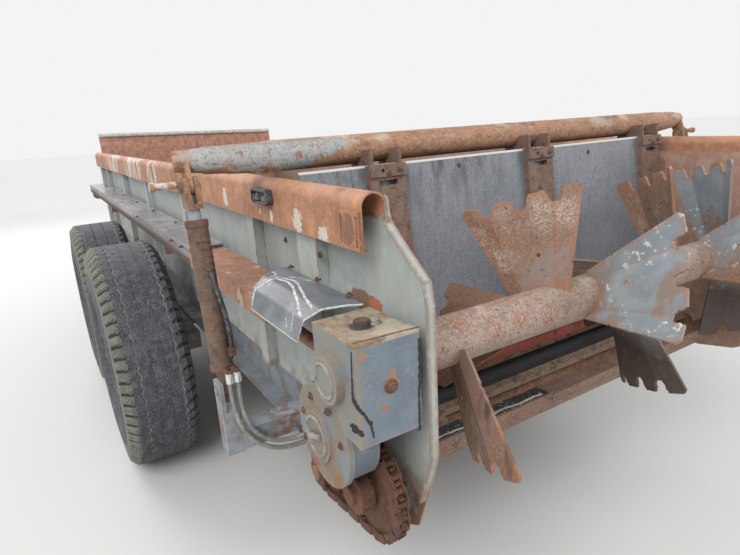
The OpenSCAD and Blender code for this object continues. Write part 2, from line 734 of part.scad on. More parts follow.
// Roller chain between the gear case and the floor's shaft
pitch = 31.75;
function sprocket_r(n) = pitch/2/sin(180/n);
big_r = sprocket_r(teeth_big);
small_r = sprocket_r(teeth_small);
big_c = [out_x, out_z];
small_c = [apron_x, apron_z];
span = norm(small_c - big_c);
span_a = atan2(small_c[1] - big_c[1], small_c[0] - big_c[0]);
wrap_a = acos((big_r - small_r)/span);
free_run = sqrt(span*span - pow(big_r - small_r, 2));
big_arc = (360 - 2*wrap_a)*PI/180*big_r;
small_arc = 2*wrap_a*PI/180*small_r;
loop_len = 2*free_run + big_arc + small_arc;
link_n = 2*round(loop_len/pitch/2);
step = loop_len/link_n;
function polar(c, r, a) = c + r*[cos(a), sin(a)];
// Point of the chain's line at a distance s along it
function chain_pt(s) =
    s < big_arc ? polar(big_c, big_r, span_a + wrap_a + s/big_r*180/PI)
    : s < big_arc + free_run ? let(k = (s - big_arc)/free_run)
        (1 - k)*polar(big_c, big_r, span_a - wrap_a) + k*polar(small_c, small_r, span_a - wrap_a)
    : s < big_arc + free_run + small_arc ?
        polar(small_c, small_r, span_a - wrap_a + (s - big_arc - free_run)/small_r*180/PI)
    : let(k = (s - big_arc - free_run - small_arc)/free_run)
        (1 - k)*polar(small_c, small_r, span_a + wrap_a) + k*polar(big_c, big_r, span_a + wrap_a);
roller_r = 9;
plate_hr = 13;
link_t = 3.5;
// Inner faces of the inner and outer link plates, from the chain's middle
link_w = [9, 9 + link_t];
module link_plate(a, b) {
    v = b - a;
    l = norm(v);
    h = plate_hr*0.85;
    e = plate_hr/2;
    translate(a) rotate(atan2(v[1], v[0]))
        polygon([[-plate_hr, 0], [-e, -h], [l + e, -h], [l + plate_hr, 0], [l + e, h], [-e, h]]);
}
module drive_chain() {
    color(rust) for (i = [0:link_n - 1]) {
        a = chain_pt(i*step);
        b = chain_pt(((i + 1) % link_n)*step);
        w = link_w[i % 2];
        for (y = [-w - link_t, w]) side_view(drive_y_mid + y, drive_y_mid + y + link_t)
            link_plate(a, b);
        side_view(drive_y_mid - link_w[0] - 1, drive_y_mid + link_w[0] + 1) translate(a)
            circle(r = roller_r, $fn = 6);
    }
}
// Sprocket of n teeth round c, with a gap under each roller from the angle a on, over the arc wrap
sprocket_t = 14;
tooth_r = 9;
function gap_angle(i, m, n, p) = i <= m ? i*p : m*p + (i - m)*(360 - m*p)/(n - m);
module sprocket(c, n, r, a, wrap) {
    p = step/r*180/PI;
    m = floor(wrap/p);
    deep = roller_r + 2*fit;
    side_view(drive_y_mid - sprocket_t/2, drive_y_mid + sprocket_t/2) translate(c) rotate(a)
        polygon([for (i = [0:n - 1], k = [[-0.42, -tooth_r], [-0.28, deep*0.35], [-0.16, deep],
            [0.16, deep], [0.28, deep*0.35], [0.42, -tooth_r]])
                polar([0, 0], r - k[1], gap_angle(i + k[0], m, n, p))]);
}
// Inner face of the large sprocket's outer hub, clear of the chain
hub_y = 968;
out_hub_r = 52;
// Angle from the small sprocket's first tangent point to the first roller on it
small_skip = ceil((big_arc + free_run)/step)*step - big_arc - free_run;
small_from = small_skip/small_r*180/PI;
module drive_sprockets() {
    color(rust) {
        sprocket(big_c, teeth_big, big_r, span_a + wrap_a, 360 - 2*wrap_a);
        rod_y(out_x, out_z, 20, y_in + plate_t, drive_y_mid);
        rod_y(out_x, out_z, 34, drive_y_mid + sprocket_t/2, hub_y);
        rod_y(out_x, out_z, out_hub_r, hub_y, hub_y + 34);
        rod_y(out_x, out_z, 24, hub_y + 34, hub_y + 46);
        difference() {
            union() {
                sprocket(small_c, teeth_small, small_r, span_a - wrap_a + small_from,
                    2*wrap_a - small_from);
                rod_y(apron_x, apron_z, 40, drive_y_mid + sprocket_t/2, drive_y_mid + 34);
            }
            rod_y(apron_x, apron_z, apron_shaft_r + fit, drive_y_mid - 8, drive_y_mid + 35);
        }
    }
}
// Flange bearings: centre and side, hole radius
module flange_bearing(x, z, r) {
    difference() {
        union() {
            rod_y(x, z, 52, y_in + plate_t, y_in + plate_t + 12);
            rod_y(x, z, 38, y_in + plate_t + 12, y_in + plate_t + 30);
        }
        rod_y(x, z, r + fit, y_in, y_in + plate_t + 31);
    }
}
module shaft_bearings() {
    color(rust) {
        both() flange_bearing(apron_x, apron_z, apron_shaft_r);
        mirror([0, 1, 0]) flange_bearing(beater_x, beater_z, 25);
    }
}

// End gate, in its own leaning frame whose origin is the lift pipe's axis
module gate_place() {
    translate([at(pipe_d), 0, pipe_z]) rotate([0, gate_lean, 0]) children();
}
post_w = 130;
post_t = 22;
post_y = [580, -90, -770];
lift_pin_w = -60;
sheet_u = -66;
gate_half = y_in - 12;
// Bent end of the lift pipe: forward offset, Y and rise of its points, and radii of the run to the next
pipe_bend = [[0, pipe_half - 12, 0, pipe_r - 1.2, pipe_r - 2], [3, pipe_half + 50, 1, pipe_r - 3.5, pipe_r - 5],
    [9, pipe_half + 110, 3, pipe_r - 6.5, pipe_r - 8], [18, lift_y - 48, 6, pipe_r - 10, pipe_r - 17],
    [31, lift_y + 26, 10]];
bend_lap = 5;
// A tapered round bar from a to b with end radii r and q, its start drawn back by the lap
module taper(a, b, r, q, lap) {
    v = b - a;
    l = norm(v);
    translate(a - lap*v/l) rotate([0, acos(v[2]/l), atan2(v[1], v[0])]) cylinder(r1 = r, r2 = q, h = l + lap);
}
module pipe_end() {
    for (i = [0:len(pipe_bend) - 2]) {
        a = pipe_bend[i];
        b = pipe_bend[i + 1];
        taper([a[0], a[1], a[2]], [b[0], b[1], b[2]], a[3], a[4], bend_lap);
    }
}
module gate_pipe() {
    color(rust) gate_place() {
        rod_y(0, 0, pipe_r, -pipe_half, pipe_half);
        both() {
            pipe_end();
            difference() {
                union() {
                    side_view(lift_y - 6, lift_y + 6) {
                        polygon([[-6, 6], [-22, lift_pin_w], [22, lift_pin_w], [56, 6]]);
                        translate([0, lift_pin_w]) circle(r = 22);
                    }
                    side_view(lift_y + 8, lift_y + 14) {
                        polygon([[12, -16], [64, -16], [64, 24], [12, 24]]);
                        translate([64, 4]) circle(r = 20);
                    }
                }
                rod_y(0, lift_pin_w, 13 + fit, lift_y - 7, lift_y + 7);
                rod_y(66, 4, 8, lift_y + 7, lift_y + 15);
            }
        }
    }
}
// Posts with a pair of lugs, a block and a slot below the pipe
module gate_posts() {
    color(rust) gate_place() for (y = post_y) {
        difference() {
            union() {
                bar([sheet_u - post_t, y - post_w/2, -gate_h + 31], [sheet_u - eps, y + post_w/2, -58]);
                bar([sheet_u - post_t - 8, y - post_w/2, -96], [sheet_u - post_t + 1, y + post_w/2, -58]);
            }
            bar([sheet_u - post_t - 1, y - 34, -122], [sheet_u + 1, y + 34, -106]);
            translate([sheet_u - post_t - 9, y + 20, -78]) rotate([0, 90, 0]) cylinder(r = 6, h = 32);
        }
        for (s = [-1, 1]) difference() {
            bar([sheet_u - post_t, y + s*(post_w/2 - 14) - 5, -110],
                [30, y + s*(post_w/2 - 14) + 5, -10]);
            rod_y(0, 0, pipe_r + fit, y - post_w, y + post_w);
            bar([sheet_u - fit, y - post_w, -120], [sheet_u + sheet_t + 3*fit, y + post_w, -50]);
        }
    }
}
module gate_sheet() {
    color(slate) gate_place()
        bar([sheet_u, -gate_half, -gate_h + 30], [sheet_u + sheet_t, gate_half, -56]);
}
module gate_bottom_bar() {
    color(red) gate_place()
        bar([sheet_u - 24, -gate_half, -gate_h], [sheet_u + sheet_t, gate_half, -gate_h + 30]);
}
barrel_top = lift_pin_w - 88;
barrel_low = -572;
lift_stroke = 300;
pin_low = -628;
piston_h = 40;
module lift_barrels() {
    color(rust) gate_place() both() translate([0, lift_y, 0]) {
        difference() {
            union() {
                translate([0, 0, barrel_low]) cylinder(r = barrel_r, h = barrel_top - barrel_low);
                side_view(-12, 12) translate([0, pin_low]) circle(r = 24);
                side_view(-12, 12) translate([-24, pin_low]) square([48, barrel_low - pin_low + 5]);
            }
            translate([0, 0, barrel_low + 12]) cylinder(r = barrel_r - 5, h = barrel_top - barrel_low - 42);
            translate([0, 0, barrel_top - 40]) cylinder(r = rod_r + fit, h = 60);
            rod_y(0, pin_low, 12, -13, 13);
        }
    }
}
module lift_rods() {
    color(steel) gate_place() both() translate([0, lift_y, 0]) {
        translate([0, 0, barrel_low + 20]) cylinder(r = rod_r, h = lift_pin_w - 46 - barrel_low - 20);
        translate([0, 0, barrel_low + 18]) cylinder(r = barrel_r - 5 - fit, h = piston_h);
        for (s = [-1, 1]) {
            side_view(s*14 - 7, s*14 + 7) {
                translate([0, lift_pin_w]) circle(r = 26);
                translate([-26, lift_pin_w - 48]) square([52, 48]);
            }
        }
        bar([-26, -21, lift_pin_w - 60], [26, 21, lift_pin_w - 46]);
        rod_y(0, lift_pin_w, 13, -26, 30);
        rod_y(-4, lift_pin_w + 8, 9, 20, 92);
        rod_y(-4, lift_pin_w + 8, 12, 90, 102);
    }
}
stand_x = at(pipe_d) + pin_low*sin(gate_lean);
stand_z = pipe_z + pin_low*cos(gate_lean);
stand_low = 722;
stub_z = [730, 790];
// Post under a lift cylinder, on a square stub from the rear plate
module lift_stand() {
    color(slate) both() {
        bar([stand_x - 35, y_in + plate_t, stub_z[0]], [stand_x + 35, lift_y - 20, stub_z[1]]);
        difference() {
            bar([stand_x - 30, lift_y - 25, stand_low], [stand_x + 30, lift_y + 25, stand_z + 26]);
            bar([stand_x - 31, lift_y - 13, stand_z - 60], [stand_x + 31, lift_y + 13, stand_z + 30]);
        }
        rod_y(stand_x, stand_z, 12 - fit, lift_y - 25, lift_y + 30);
    }
}
module marker_lamp() {
    color(rubber) bar([at(480), y_in + rail_w, rail_z - 72], [at(600), y_in + rail_w + 24, rail_z - 28]);
}

// Beater
tooth_h = 36;
// A notch between two teeth: offset along the tip and depth
notch = [[-25, -1], [-25, 5], [-19, 12], [-18, 24], [-10, tooth_h], [10, tooth_h], [18, 24], [19, 12],
    [25, 5], [25, -1]];
module blade_flat() {
    difference() {
        polygon([
            [-paddle_root_w/2, paddle_root_z], [paddle_root_w/2, paddle_root_z],
            tips[0], tips[1], [-tips[1][0], tips[1][1]], [-tips[0][0], tips[0][1]]]);
        for (k = [-1:1]) translate([k*paddle_tip_w*fold_at, paddle_reach])
            polygon([for (p = notch) [p[0], -p[1]]]);
        for (p = [[0.05, 150], [-0.28, 230], [0.3, 110]]) translate([p[0]*paddle_tip_w, p[1]])
            circle(r = 6, $fn = 16);
    }
}
fold_ang = atan2(fold_v[0], fold_v[1]);
module facet(region) {
    translate([0, paddle_t/2, 0]) rotate([90, 0, 0]) linear_extrude(paddle_t) intersection() {
        blade_flat();
        polygon(region);
    }
}
module wing() {
    out = 400;
    translate([fold_a[0], 0, fold_a[1]]) rotate([0, fold_ang, 0]) rotate([0, 0, paddle_fold])
        rotate([0, -fold_ang, 0]) translate([-fold_a[0], 0, -fold_a[1]])
            facet([fold_a, [out, paddle_root_z], [out, paddle_reach], fold_b]);
    translate([fold_a[0], 0, fold_a[1]]) rotate([0, fold_ang, 0])
        cylinder(r = paddle_t/2, h = norm(fold_v) - tooth_h, $fn = 16);
}
module paddle() {
    facet([[-fold_a[0], fold_a[1]], fold_a, fold_b, [-fold_b[0], fold_b[1]]]);
    wing();
    mirror([1, 0, 0]) wing();
}
module beater_tube() {
    color(rust) {
        rod_y(beater_x, beater_z, beater_tube_r, -(y_in - 22), y_in - 22);
        rod_y(beater_x, beater_z, 25, -(y_in + plate_t + 36), case_y0 + 50);
    }
}
module beater_paddles() {
    color(slate) difference() {
        for (p = paddles) translate([beater_x, p[PADDLE_Y], beater_z]) rotate([0, -p[PADDLE_TURN], 0])
            rotate([0, 0, p[PADDLE_SKEW] - 90]) paddle();
        rod_y(beater_x, beater_z, beater_tube_r + fit, -y_in, y_in);
    }
}

floor_top_run();
floor_return_run();
floor_panel();
side_panels();
top_rails();
front_wall();
front_extension();
rear_plates();
sills();
cross_members();
tongue();
hitch_clevis();
jack();
axle();
walking_beams();
apron_shafts();
rear_beam();
shaft_shield();
shield_rear();
shield_flap();
line_shaft();
pto_shaft();
pto_holder();
gear_case();
drive_chain();
drive_sprockets();
shaft_bearings();
lift_barrels();
lift_stand();
hose_fittings();
hose_outer();
hose_inner();
marker_lamp();
gate_pipe();
gate_posts();
gate_sheet();
gate_bottom_bar();
lift_rods();
beater_tube();
beater_paddles();
wheel_tyre(false, 1);  // tyre_rear_left
wheel_tyre(false, -1);  // tyre_rear_right
wheel_tyre(true, 1);  // tyre_front_left
wheel_tyre(true, -1);  // tyre_front_right
wheel_rim(false, 1);  // rim_rear_left
wheel_rim(false, -1);  // rim_rear_right
wheel_rim(true, 1);  // rim_front_left
wheel_rim(true, -1);  // rim_front_right
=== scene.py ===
"""Looks of a towed tandem-wheel manure spreader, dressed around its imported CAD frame."""
import json
import math
import random

import bpy
from mathutils import Matrix, Vector, noise


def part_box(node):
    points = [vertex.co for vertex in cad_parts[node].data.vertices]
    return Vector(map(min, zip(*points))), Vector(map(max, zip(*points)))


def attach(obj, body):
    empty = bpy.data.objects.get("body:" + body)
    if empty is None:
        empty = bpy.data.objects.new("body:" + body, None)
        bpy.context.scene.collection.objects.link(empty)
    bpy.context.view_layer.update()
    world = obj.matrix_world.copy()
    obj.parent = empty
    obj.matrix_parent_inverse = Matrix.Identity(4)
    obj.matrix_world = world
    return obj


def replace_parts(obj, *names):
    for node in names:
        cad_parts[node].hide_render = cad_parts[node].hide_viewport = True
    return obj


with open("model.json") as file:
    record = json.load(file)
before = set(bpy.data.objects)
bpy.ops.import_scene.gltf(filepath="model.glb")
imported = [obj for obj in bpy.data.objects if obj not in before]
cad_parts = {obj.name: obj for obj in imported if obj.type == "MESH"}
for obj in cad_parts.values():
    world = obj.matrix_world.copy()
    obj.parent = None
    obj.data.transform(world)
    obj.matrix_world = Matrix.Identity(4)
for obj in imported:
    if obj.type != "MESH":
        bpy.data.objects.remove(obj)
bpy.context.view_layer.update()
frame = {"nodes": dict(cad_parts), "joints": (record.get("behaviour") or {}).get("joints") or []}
gate_axis = Vector(next(j for j in frame["joints"] if j["name"] == "gate_lift")["axis"])

# Places shared by many pieces, in metres in the CAD frame
X, Y, Z = (1, 0, 0), (0, 1, 0), (0, 0, 1)
REAR_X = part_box("top_rails")[0].x
RAIL_Y, RAIL_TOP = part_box("top_rails")[1].yz
Y_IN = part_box("front_wall")[1].y
Y_OUT = Y_IN + 0.005
RIB_Y = Y_OUT + 0.034
PLATE_Y = Y_IN + 0.006
CASE_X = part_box("gear_case")[0].x
CASE_TOP = 1.218
BEATER_X = sum(corner.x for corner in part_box("beater_tube")) / 2


def at(station):
    """X of a station counted forwards from the box's rear end."""
    return REAR_X + station


def placed(name, data):
    """New object in the scene for a mesh, curve, lamp or camera."""
    obj = bpy.data.objects.new(name, data)
    bpy.context.scene.collection.objects.link(obj)
    return obj


# ---------------- camera
IMAGE = (740, 555)
VANISH_X = (24.0, 142.0)
VANISH_Y = (1300.0, 65.0)
FOCAL_PX = 541.28
SENSOR = 36.0
EYE = Vector((REAR_X - 0.96, 1.50, 1.62))


def pixel_way(px, py):
    """Way from the eye through a pixel, in the camera's own axes."""
    return Vector((px - IMAGE[0] / 2, IMAGE[1] / 2 - py, -FOCAL_PX))


def view_axes():
    """Frame axes as the camera sees them, from the vanishing points of +X and -Y in the photograph."""
    ahead, right = pixel_way(*VANISH_X).normalized(), pixel_way(*VANISH_Y).normalized()
    left = -(right - right.dot(ahead) * ahead).normalized()
    return Matrix((ahead, left, ahead.cross(left)))


AXES = view_axes()


def photo_camera():
    data = bpy.data.cameras.new("photo_camera")
    data.sensor_width = SENSOR
    data.lens = FOCAL_PX / IMAGE[0] * SENSOR
    data.clip_start = 0.02
    cam = placed("photo_camera", data)
    cam.matrix_world = Matrix.Translation(EYE) @ AXES.to_4x4()
    bpy.context.scene.camera = cam


def seen(px, py, axis, value):
    """Point where the ray through a pixel of the photograph meets the plane axis = value."""
    way = AXES @ pixel_way(px, py)
    return EYE + way * ((value - EYE[axis]) / way[axis])


photo_camera()


# ---------------- materials
class Nodes:
    """Builder of one node tree."""

    def __init__(self, tree):
        self.tree = tree

    def put(self, value, slot):
        """Links a socket to an input, or sets a constant on the input itself."""
        if isinstance(value, bpy.types.NodeSocket):
            self.tree.links.new(value, slot)
        else:
            slot.default_value = value

    def add(self, kind, inputs=None, **props):
        node = self.tree.nodes.new("ShaderNode" + kind)
        for key, value in props.items():
            setattr(node, key, value)
        for key, value in (inputs or {}).items():
            self.put(value, node.inputs[key])
        return node


class Skin(Nodes):
    """A procedural surface: a base colour with masked layers of colour, roughness and height."""

    def __init__(self, name, base, roughness, vary, grain, metallic=0.0):
        self.material = bpy.data.materials.new(name)
        self.material.use_nodes = True
        self.material.diffuse_color = (*base, 1)
        super().__init__(self.material.node_tree)
        self.tree.nodes.clear()
        self.shader = self.add("BsdfPrincipled", {"Metallic": metallic})
        self.add("OutputMaterial", {"Surface": self.shader.outputs["BSDF"]})
        self.coord = self.add("TexCoord").outputs["Object"]
        light = tuple(min(1.0, c * (1 + vary)) for c in base)
        dark = tuple(c * (1 - vary) for c in base)
        self.colour = self.mix(self.noise(grain, 0.35, 0.65), dark, light)
        self.rough = self.mix(self.noise(grain * 0.6, 0.3, 0.7), roughness - 0.06, roughness + 0.06)
        self.height = self.mask([(grain * 4, 0.3, 0.7), 0.06])

    def mask(self, value):
        """Socket of a mask: a list is a product, a tuple a noise field or, with an axis first, a slope."""
        if isinstance(value, tuple):
            return self.along(*value) if isinstance(value[0], str) else self.noise(*value)
        if isinstance(value, list):
            factors = [self.mask(v) for v in value]
            value = factors.pop()
            while factors:
                value = self.math("MULTIPLY", factors.pop(), value)
        return value

    def noise(self, scale, low, high, seed=0, stretch=(1, 1, 1)):
        """Mask from 0 below low to 1 above high of a noise field; stretch divides its scale along each axis."""
        place = self.add("Mapping", {"Vector": self.coord, "Location": (seed, seed * 0.7, -seed),
                                     "Scale": [1.0 / s for s in stretch]})
        field = self.add("TexNoise", {"Vector": place.outputs[0], "Scale": scale, "Detail": 6, "Roughness": 0.6})
        return self.ramp(field.outputs["Fac"], low, high)

    def ramp(self, value, low, high):
        return self.add("MapRange", {"Value": value, "From Min": low, "From Max": high}, clamp=True).outputs[0]

    def along(self, axis, start, end):
        """Mask that grows from 0 at start to 1 at end along an axis of the frame."""
        return self.ramp(self.add("SeparateXYZ", {"Vector": self.coord}).outputs[axis.upper()], start, end)

    def inside(self):
        """Mask of the faces that look into the load space, by their distance from its mid plane."""
        y = self.add("SeparateXYZ", {"Vector": self.coord}).outputs["Y"]
        away = self.add("Math", {0: y}, operation="ABSOLUTE").outputs[0]
        return self.ramp(away, Y_IN + 0.003, Y_IN + 0.0015)

    def spot(self, place, radius, edge, wobble, stretch=(1, 1, 1)):
        """Ragged mask round a place: radius across the frame, its outline broken by noise."""
        away = self.add("VectorMath", {0: self.coord, 1: place}, operation="SUBTRACT").outputs[0]
        flat = self.add("VectorMath", {0: away, 1: [radius * s for s in stretch]}, operation="DIVIDE").outputs[0]
        size = self.add("VectorMath", {0: flat}, operation="LENGTH").outputs["Value"]
        return self.total(0.50, 0.56, (self.ramp(size, 1 + edge, 1 - edge), 0.62), ((wobble, 0.3, 0.7), 0.38))

    def total(self, low, high, *parts):
        """Mask from 0 below low to 1 above high of a sum of masks, each given with its weight."""
        terms = [self.math("MULTIPLY", *part) for part in parts]
        value = terms.pop()
        while terms:
            value = self.math("ADD", terms.pop(), value)
        return self.ramp(value, low, high)

    def edges(self, radius, low=0.02, high=0.25):
        """Mask of the convex and concave edges, from a bevelled normal."""
        bevel = self.add("Bevel", {"Radius": radius}, samples=4).outputs[0]
        plain = self.add("NewGeometry").outputs["Normal"]
        dot = self.add("VectorMath", {0: bevel, 1: plain}, operation="DOT_PRODUCT").outputs["Value"]
        return self.ramp(dot, 1 - low, 1 - high)

    def math(self, operation, a, b):
        values = {0: self.mask(a), 1: self.mask(b)}
        return self.add("Math", values, operation=operation, use_clamp=True).outputs[0]

    def mix(self, mask, a, b):
        """Blend from a to b by a mask, of two colours if b is one and of two values if not."""
        colour = isinstance(b, tuple)
        a, b = ((*v, 1) if isinstance(v, tuple) else v for v in (a, b))
        if colour:
            return self.add("Mix", {0: mask, 6: a, 7: b}, data_type="RGBA").outputs[2]
        return self.add("Mix", {0: mask, 2: a, 3: b}, data_type="FLOAT").outputs[0]

    def layer(self, mask, colour, roughness, height=0.0):
        """Covers the masked part with a colour, a roughness and a raised or sunken height."""
        mask = self.mask(mask)
        self.colour = self.mix(mask, self.colour, colour)
        self.rough = self.mix(mask, self.rough, roughness)
        if height:
            self.height = self.math("ADD" if height > 0 else "SUBTRACT", self.height, [mask, abs(height)])

    def done(self, bump):
        normal = self.add("Bump", {"Strength": bump, "Distance": 0.004, "Height": self.height}).outputs[0]
        for name, value in (("Base Color", self.colour), ("Roughness", self.rough), ("Normal", normal)):
            self.put(value, self.shader.inputs[name])
        return self.material


MAT = {}


def skin(name, base, roughness, vary, grain, bump, metallic=0.0):
    """Makes a material from the layers that a function adds, and lists it under the function's name."""
    def make(layers):
        s = Skin(name, base, roughness, vary, grain, metallic)
        layers(s)
        MAT[layers.__name__] = s.done(bump)
    return make


# Colours as they show in plain daylight
BROWN_RUST = (0.275, 0.135, 0.080)
RUST = (0.190, 0.098, 0.062)
PALE_RUST = (0.40, 0.27, 0.18)
DARK_RUST = (0.085, 0.048, 0.035)
SOIL = (0.13, 0.100, 0.072)

# Pale flakes on the left rail's outer face: pixel, radius in metres, upright stretch
RAIL_FLAKES = [((224, 197), 0.021, 1.6), ((270, 217), 0.011, 1.6), ((259, 212), 0.007, 1.3),
               ((296, 221), 0.025, 1.5), ((322, 236), 0.024, 1.0), ((131, 168), 0.300, 0.5),
               ((151, 177), 0.120, 0.9), ((112, 161), 0.330, 0.4)]
# Rusty pits on the gear case's rear face, in the same terms
CASE_PITS = [((391, 386), 0.017, 1.2), ((393, 375), 0.008, 1.6), ((362, 357), 0.007, 1.5),
             ((376, 342), 0.006, 1.5), ((395, 440), 0.006, 1.0)]


@skin("wall_paint", (0.325, 0.352, 0.335), 0.55, 0.06, 9, 0.22)
def wall(s):
    s.layer((9, 0.46, 0.72, 0, (1, 1, 9)), (0.265, 0.29, 0.278), 0.6)
    s.layer((50, 0.52, 0.74, 22), (0.375, 0.4, 0.385), 0.55)
    s.layer(s.spot(seen(123, 216, 1, Y_OUT), 0.075, 0.8, 36), (0.37, 0.235, 0.205), 0.7)
    s.layer([(34, 0.6, 0.66, 3, (1, 1, 4)), (2.2, 0.5, 0.62, 4)], PALE_RUST, 0.8, -0.2)
    s.layer([s.edges(0.01), (34, 0.44, 0.58, 5)], RUST, 0.85, -0.3)
    s.layer([("z", 0.92, 0.78), (14, 0.46, 0.58, 6)], (0.2, 0.155, 0.11), 0.85)
    inner = s.inside()
    s.layer(inner, (0.315, 0.185, 0.135), 0.8)
    s.layer([inner, (26, 0.46, 0.6, 7)], (0.36, 0.24, 0.185), 0.8)
    s.layer([inner, ("z", 1.45, 0.95), (12, 0.3, 0.74, 9)], SOIL, 0.9)


@skin("rear_plate_paint", (0.325, 0.348, 0.325), 0.5, 0.06, 9, 0.22)
def plate(s):
    s.layer((7, 0.46, 0.72, 2, (1, 1, 6)), (0.255, 0.272, 0.262), 0.55)
    s.layer((40, 0.52, 0.72, 12), (0.375, 0.392, 0.368), 0.55)
    s.layer([s.edges(0.014, 0.004, 0.08), (46, 0.34, 0.48, 5)], (0.19, 0.105, 0.065), 0.85, -0.3)
    s.layer([("z", 0.98, 0.7), (13, 0.46, 0.58, 6)], (0.235, 0.165, 0.11), 0.85)
    s.layer([("z", 0.86, 0.76), (20, 0.36, 0.5, 16)], RUST, 0.85)
    s.layer([(80, 0.66, 0.7), (4, 0.5, 0.6, 8)], RUST, 0.9)
    s.layer(s.spot(seen(364, 301, 1, PLATE_Y), 0.034, 0.4, 50, (2.2, 3, 0.8)), (0.175, 0.1, 0.065), 0.85, -0.2)
    s.layer(s.spot(seen(376, 305, 1, PLATE_Y), 0.018, 0.5, 120, (1.7, 3, 0.9)), (0.37, 0.12, 0.055), 0.8)
    inner = s.inside()
    s.layer(inner, (0.3, 0.175, 0.13), 0.8)
    s.layer([inner, (26, 0.46, 0.6, 7)], (0.35, 0.235, 0.18), 0.8)


@skin("rail_rust", (0.345, 0.165, 0.09), 0.7, 0.24, 24, 0.4)
def rail(s):
    s.layer((14, 0.47, 0.66, 1, (1, 1, 6)), (0.235, 0.108, 0.062), 0.8)
    s.layer((95, 0.58, 0.68, 2), (0.42, 0.26, 0.165), 0.8, 0.1)
    s.layer((50, 0.66, 0.72, 11), DARK_RUST, 0.9, -0.2)
    s.layer([("z", RAIL_TOP - 0.03, RAIL_TOP), (18, 0.42, 0.6, 4)], (0.4, 0.215, 0.135), 0.75)
    for (px, py), radius, tall in RAIL_FLAKES:
        flake = s.spot(seen(px, py, 1, RAIL_Y), radius, 0.75, 85, (1.1, 2, tall))
        if radius > 0.05:
            flake = s.mask([flake, (16, 0.47, 0.52, radius * 100, (1, 1, 5))])
        s.layer(flake, (0.5, 0.45, 0.385), 0.5, 0.4)
    s.layer(s.spot(seen(224, 198, 1, RAIL_Y), 0.012, 0.35, 45, (1, 2, 1.9)), (0.42, 0.46, 0.53), 0.5)
    s.layer((120, 0.6, 0.66, 31), (0.25, 0.115, 0.065), 0.85, -0.2)
    worn = s.spot(seen(347, 229, 1, RAIL_Y), 0.034, 0.3, 60, (0.9, 3, 1.1))
    s.layer([worn, (34, 0.36, 0.56, 33, (1, 1, 4))], (0.185, 0.088, 0.056), 0.85, -0.3)


@skin("pipe_rust", (0.255, 0.13, 0.078), 0.78, 0.26, 22, 0.5)
def pipe(s):
    s.layer((110, 0.46, 0.6, 2), (0.345, 0.205, 0.13), 0.8, 0.15)
    s.layer((34, 0.58, 0.68, 3, (1, 3, 1)), (0.15, 0.07, 0.045), 0.9, -0.25)
    s.layer([(12, 0.52, 0.62, 18, (1, 2, 1)), ("y", 1.04, 1.0), ("z", 1.535, 1.565)], (0.4, 0.32, 0.25), 0.75)
    s.layer([("z", 1.52, 1.5), (8, 0.35, 0.5, 7)], (0.2, 0.1, 0.06), 0.85)
    shown = s.total(0.7, 0.73, (("y", 0.46, 0.86), 0.58), ((9, 0.36, 0.64, 5, (1, 2, 1)), 0.42),
                    (("z", 1.5, 1.56), 0.16))
    shown = s.mask([shown, s.total(0.42, 0.48, (("y", 1.15, 1.11), 0.7), ((14, 0.35, 0.65, 19), 0.3))])
    s.layer(shown, (0.27, 0.29, 0.295), 0.5, 0.4)
    s.layer([shown, (40, 0.5, 0.7, 26)], (0.345, 0.345, 0.33), 0.5)
    s.layer([shown, (120, 0.54, 0.62, 6)], (0.235, 0.165, 0.115), 0.8, -0.3)
    s.layer([shown, (22, 0.58, 0.62, 27)], (0.255, 0.135, 0.08), 0.8, -0.3)
    s.layer([shown, ("z", 1.574, 1.582), (16, 0.4, 0.48, 28, (1, 3, 1))], (0.3, 0.155, 0.09), 0.8, -0.2)
    faint = s.mask([(11, 0.58, 0.64, 8, (1, 2, 1)), ("z", 1.515, 1.545)])
    s.layer([faint, 0.6], (0.33, 0.31, 0.27), 0.6, 0.2)


@skin("gate_sheet_paint", (0.138, 0.15, 0.168), 0.42, 0.08, 12, 0.16)
def sheet(s):
    s.layer((60, 0.42, 0.7, 1, (1, 1, 7)), (0.105, 0.115, 0.128), 0.5)
    s.layer((150, 0.48, 0.66, 2), (0.202, 0.217, 0.238), 0.4, 0.08)
    s.layer((100, 0.6, 0.7, 12, (1, 1, 3)), (0.08, 0.085, 0.092), 0.55)
    s.layer([(5, 0.46, 0.66, 9), (70, 0.4, 0.6, 19)], (0.19, 0.2, 0.225), 0.42)
    dirty = s.mask([("z", 1.28, 1.47), (30, 0.44, 0.62, 3, (1, 1, 5))])
    s.layer([dirty, ("y", -0.1, 0.25)], (0.065, 0.072, 0.075), 0.6)
    s.layer(("z", 1.4845, 1.486), (0.55, 0.56, 0.54), 0.6)
    s.layer([(80, 0.66, 0.7, 4), (4, 0.5, 0.6, 5)], RUST, 0.85, -0.2)


@skin("blue_grey_paint", (0.2, 0.24, 0.275), 0.5, 0.1, 14, 0.3)
def slate(s):
    s.layer((18, 0.5, 0.7, 1), (0.26, 0.3, 0.335), 0.45)
    s.layer([s.edges(0.01), (30, 0.4, 0.52, 2)], (0.24, 0.145, 0.09), 0.85, -0.3)
    s.layer((11, 0.48, 0.66, 3), (0.165, 0.105, 0.078), 0.8, -0.2)
    s.layer([(5, 0.5, 0.6, 13), (40, 0.46, 0.56, 14)], RUST, 0.85, -0.2)
    s.layer([("z", 0.75, 0.35), (9, 0.4, 0.56, 4)], SOIL, 0.95)


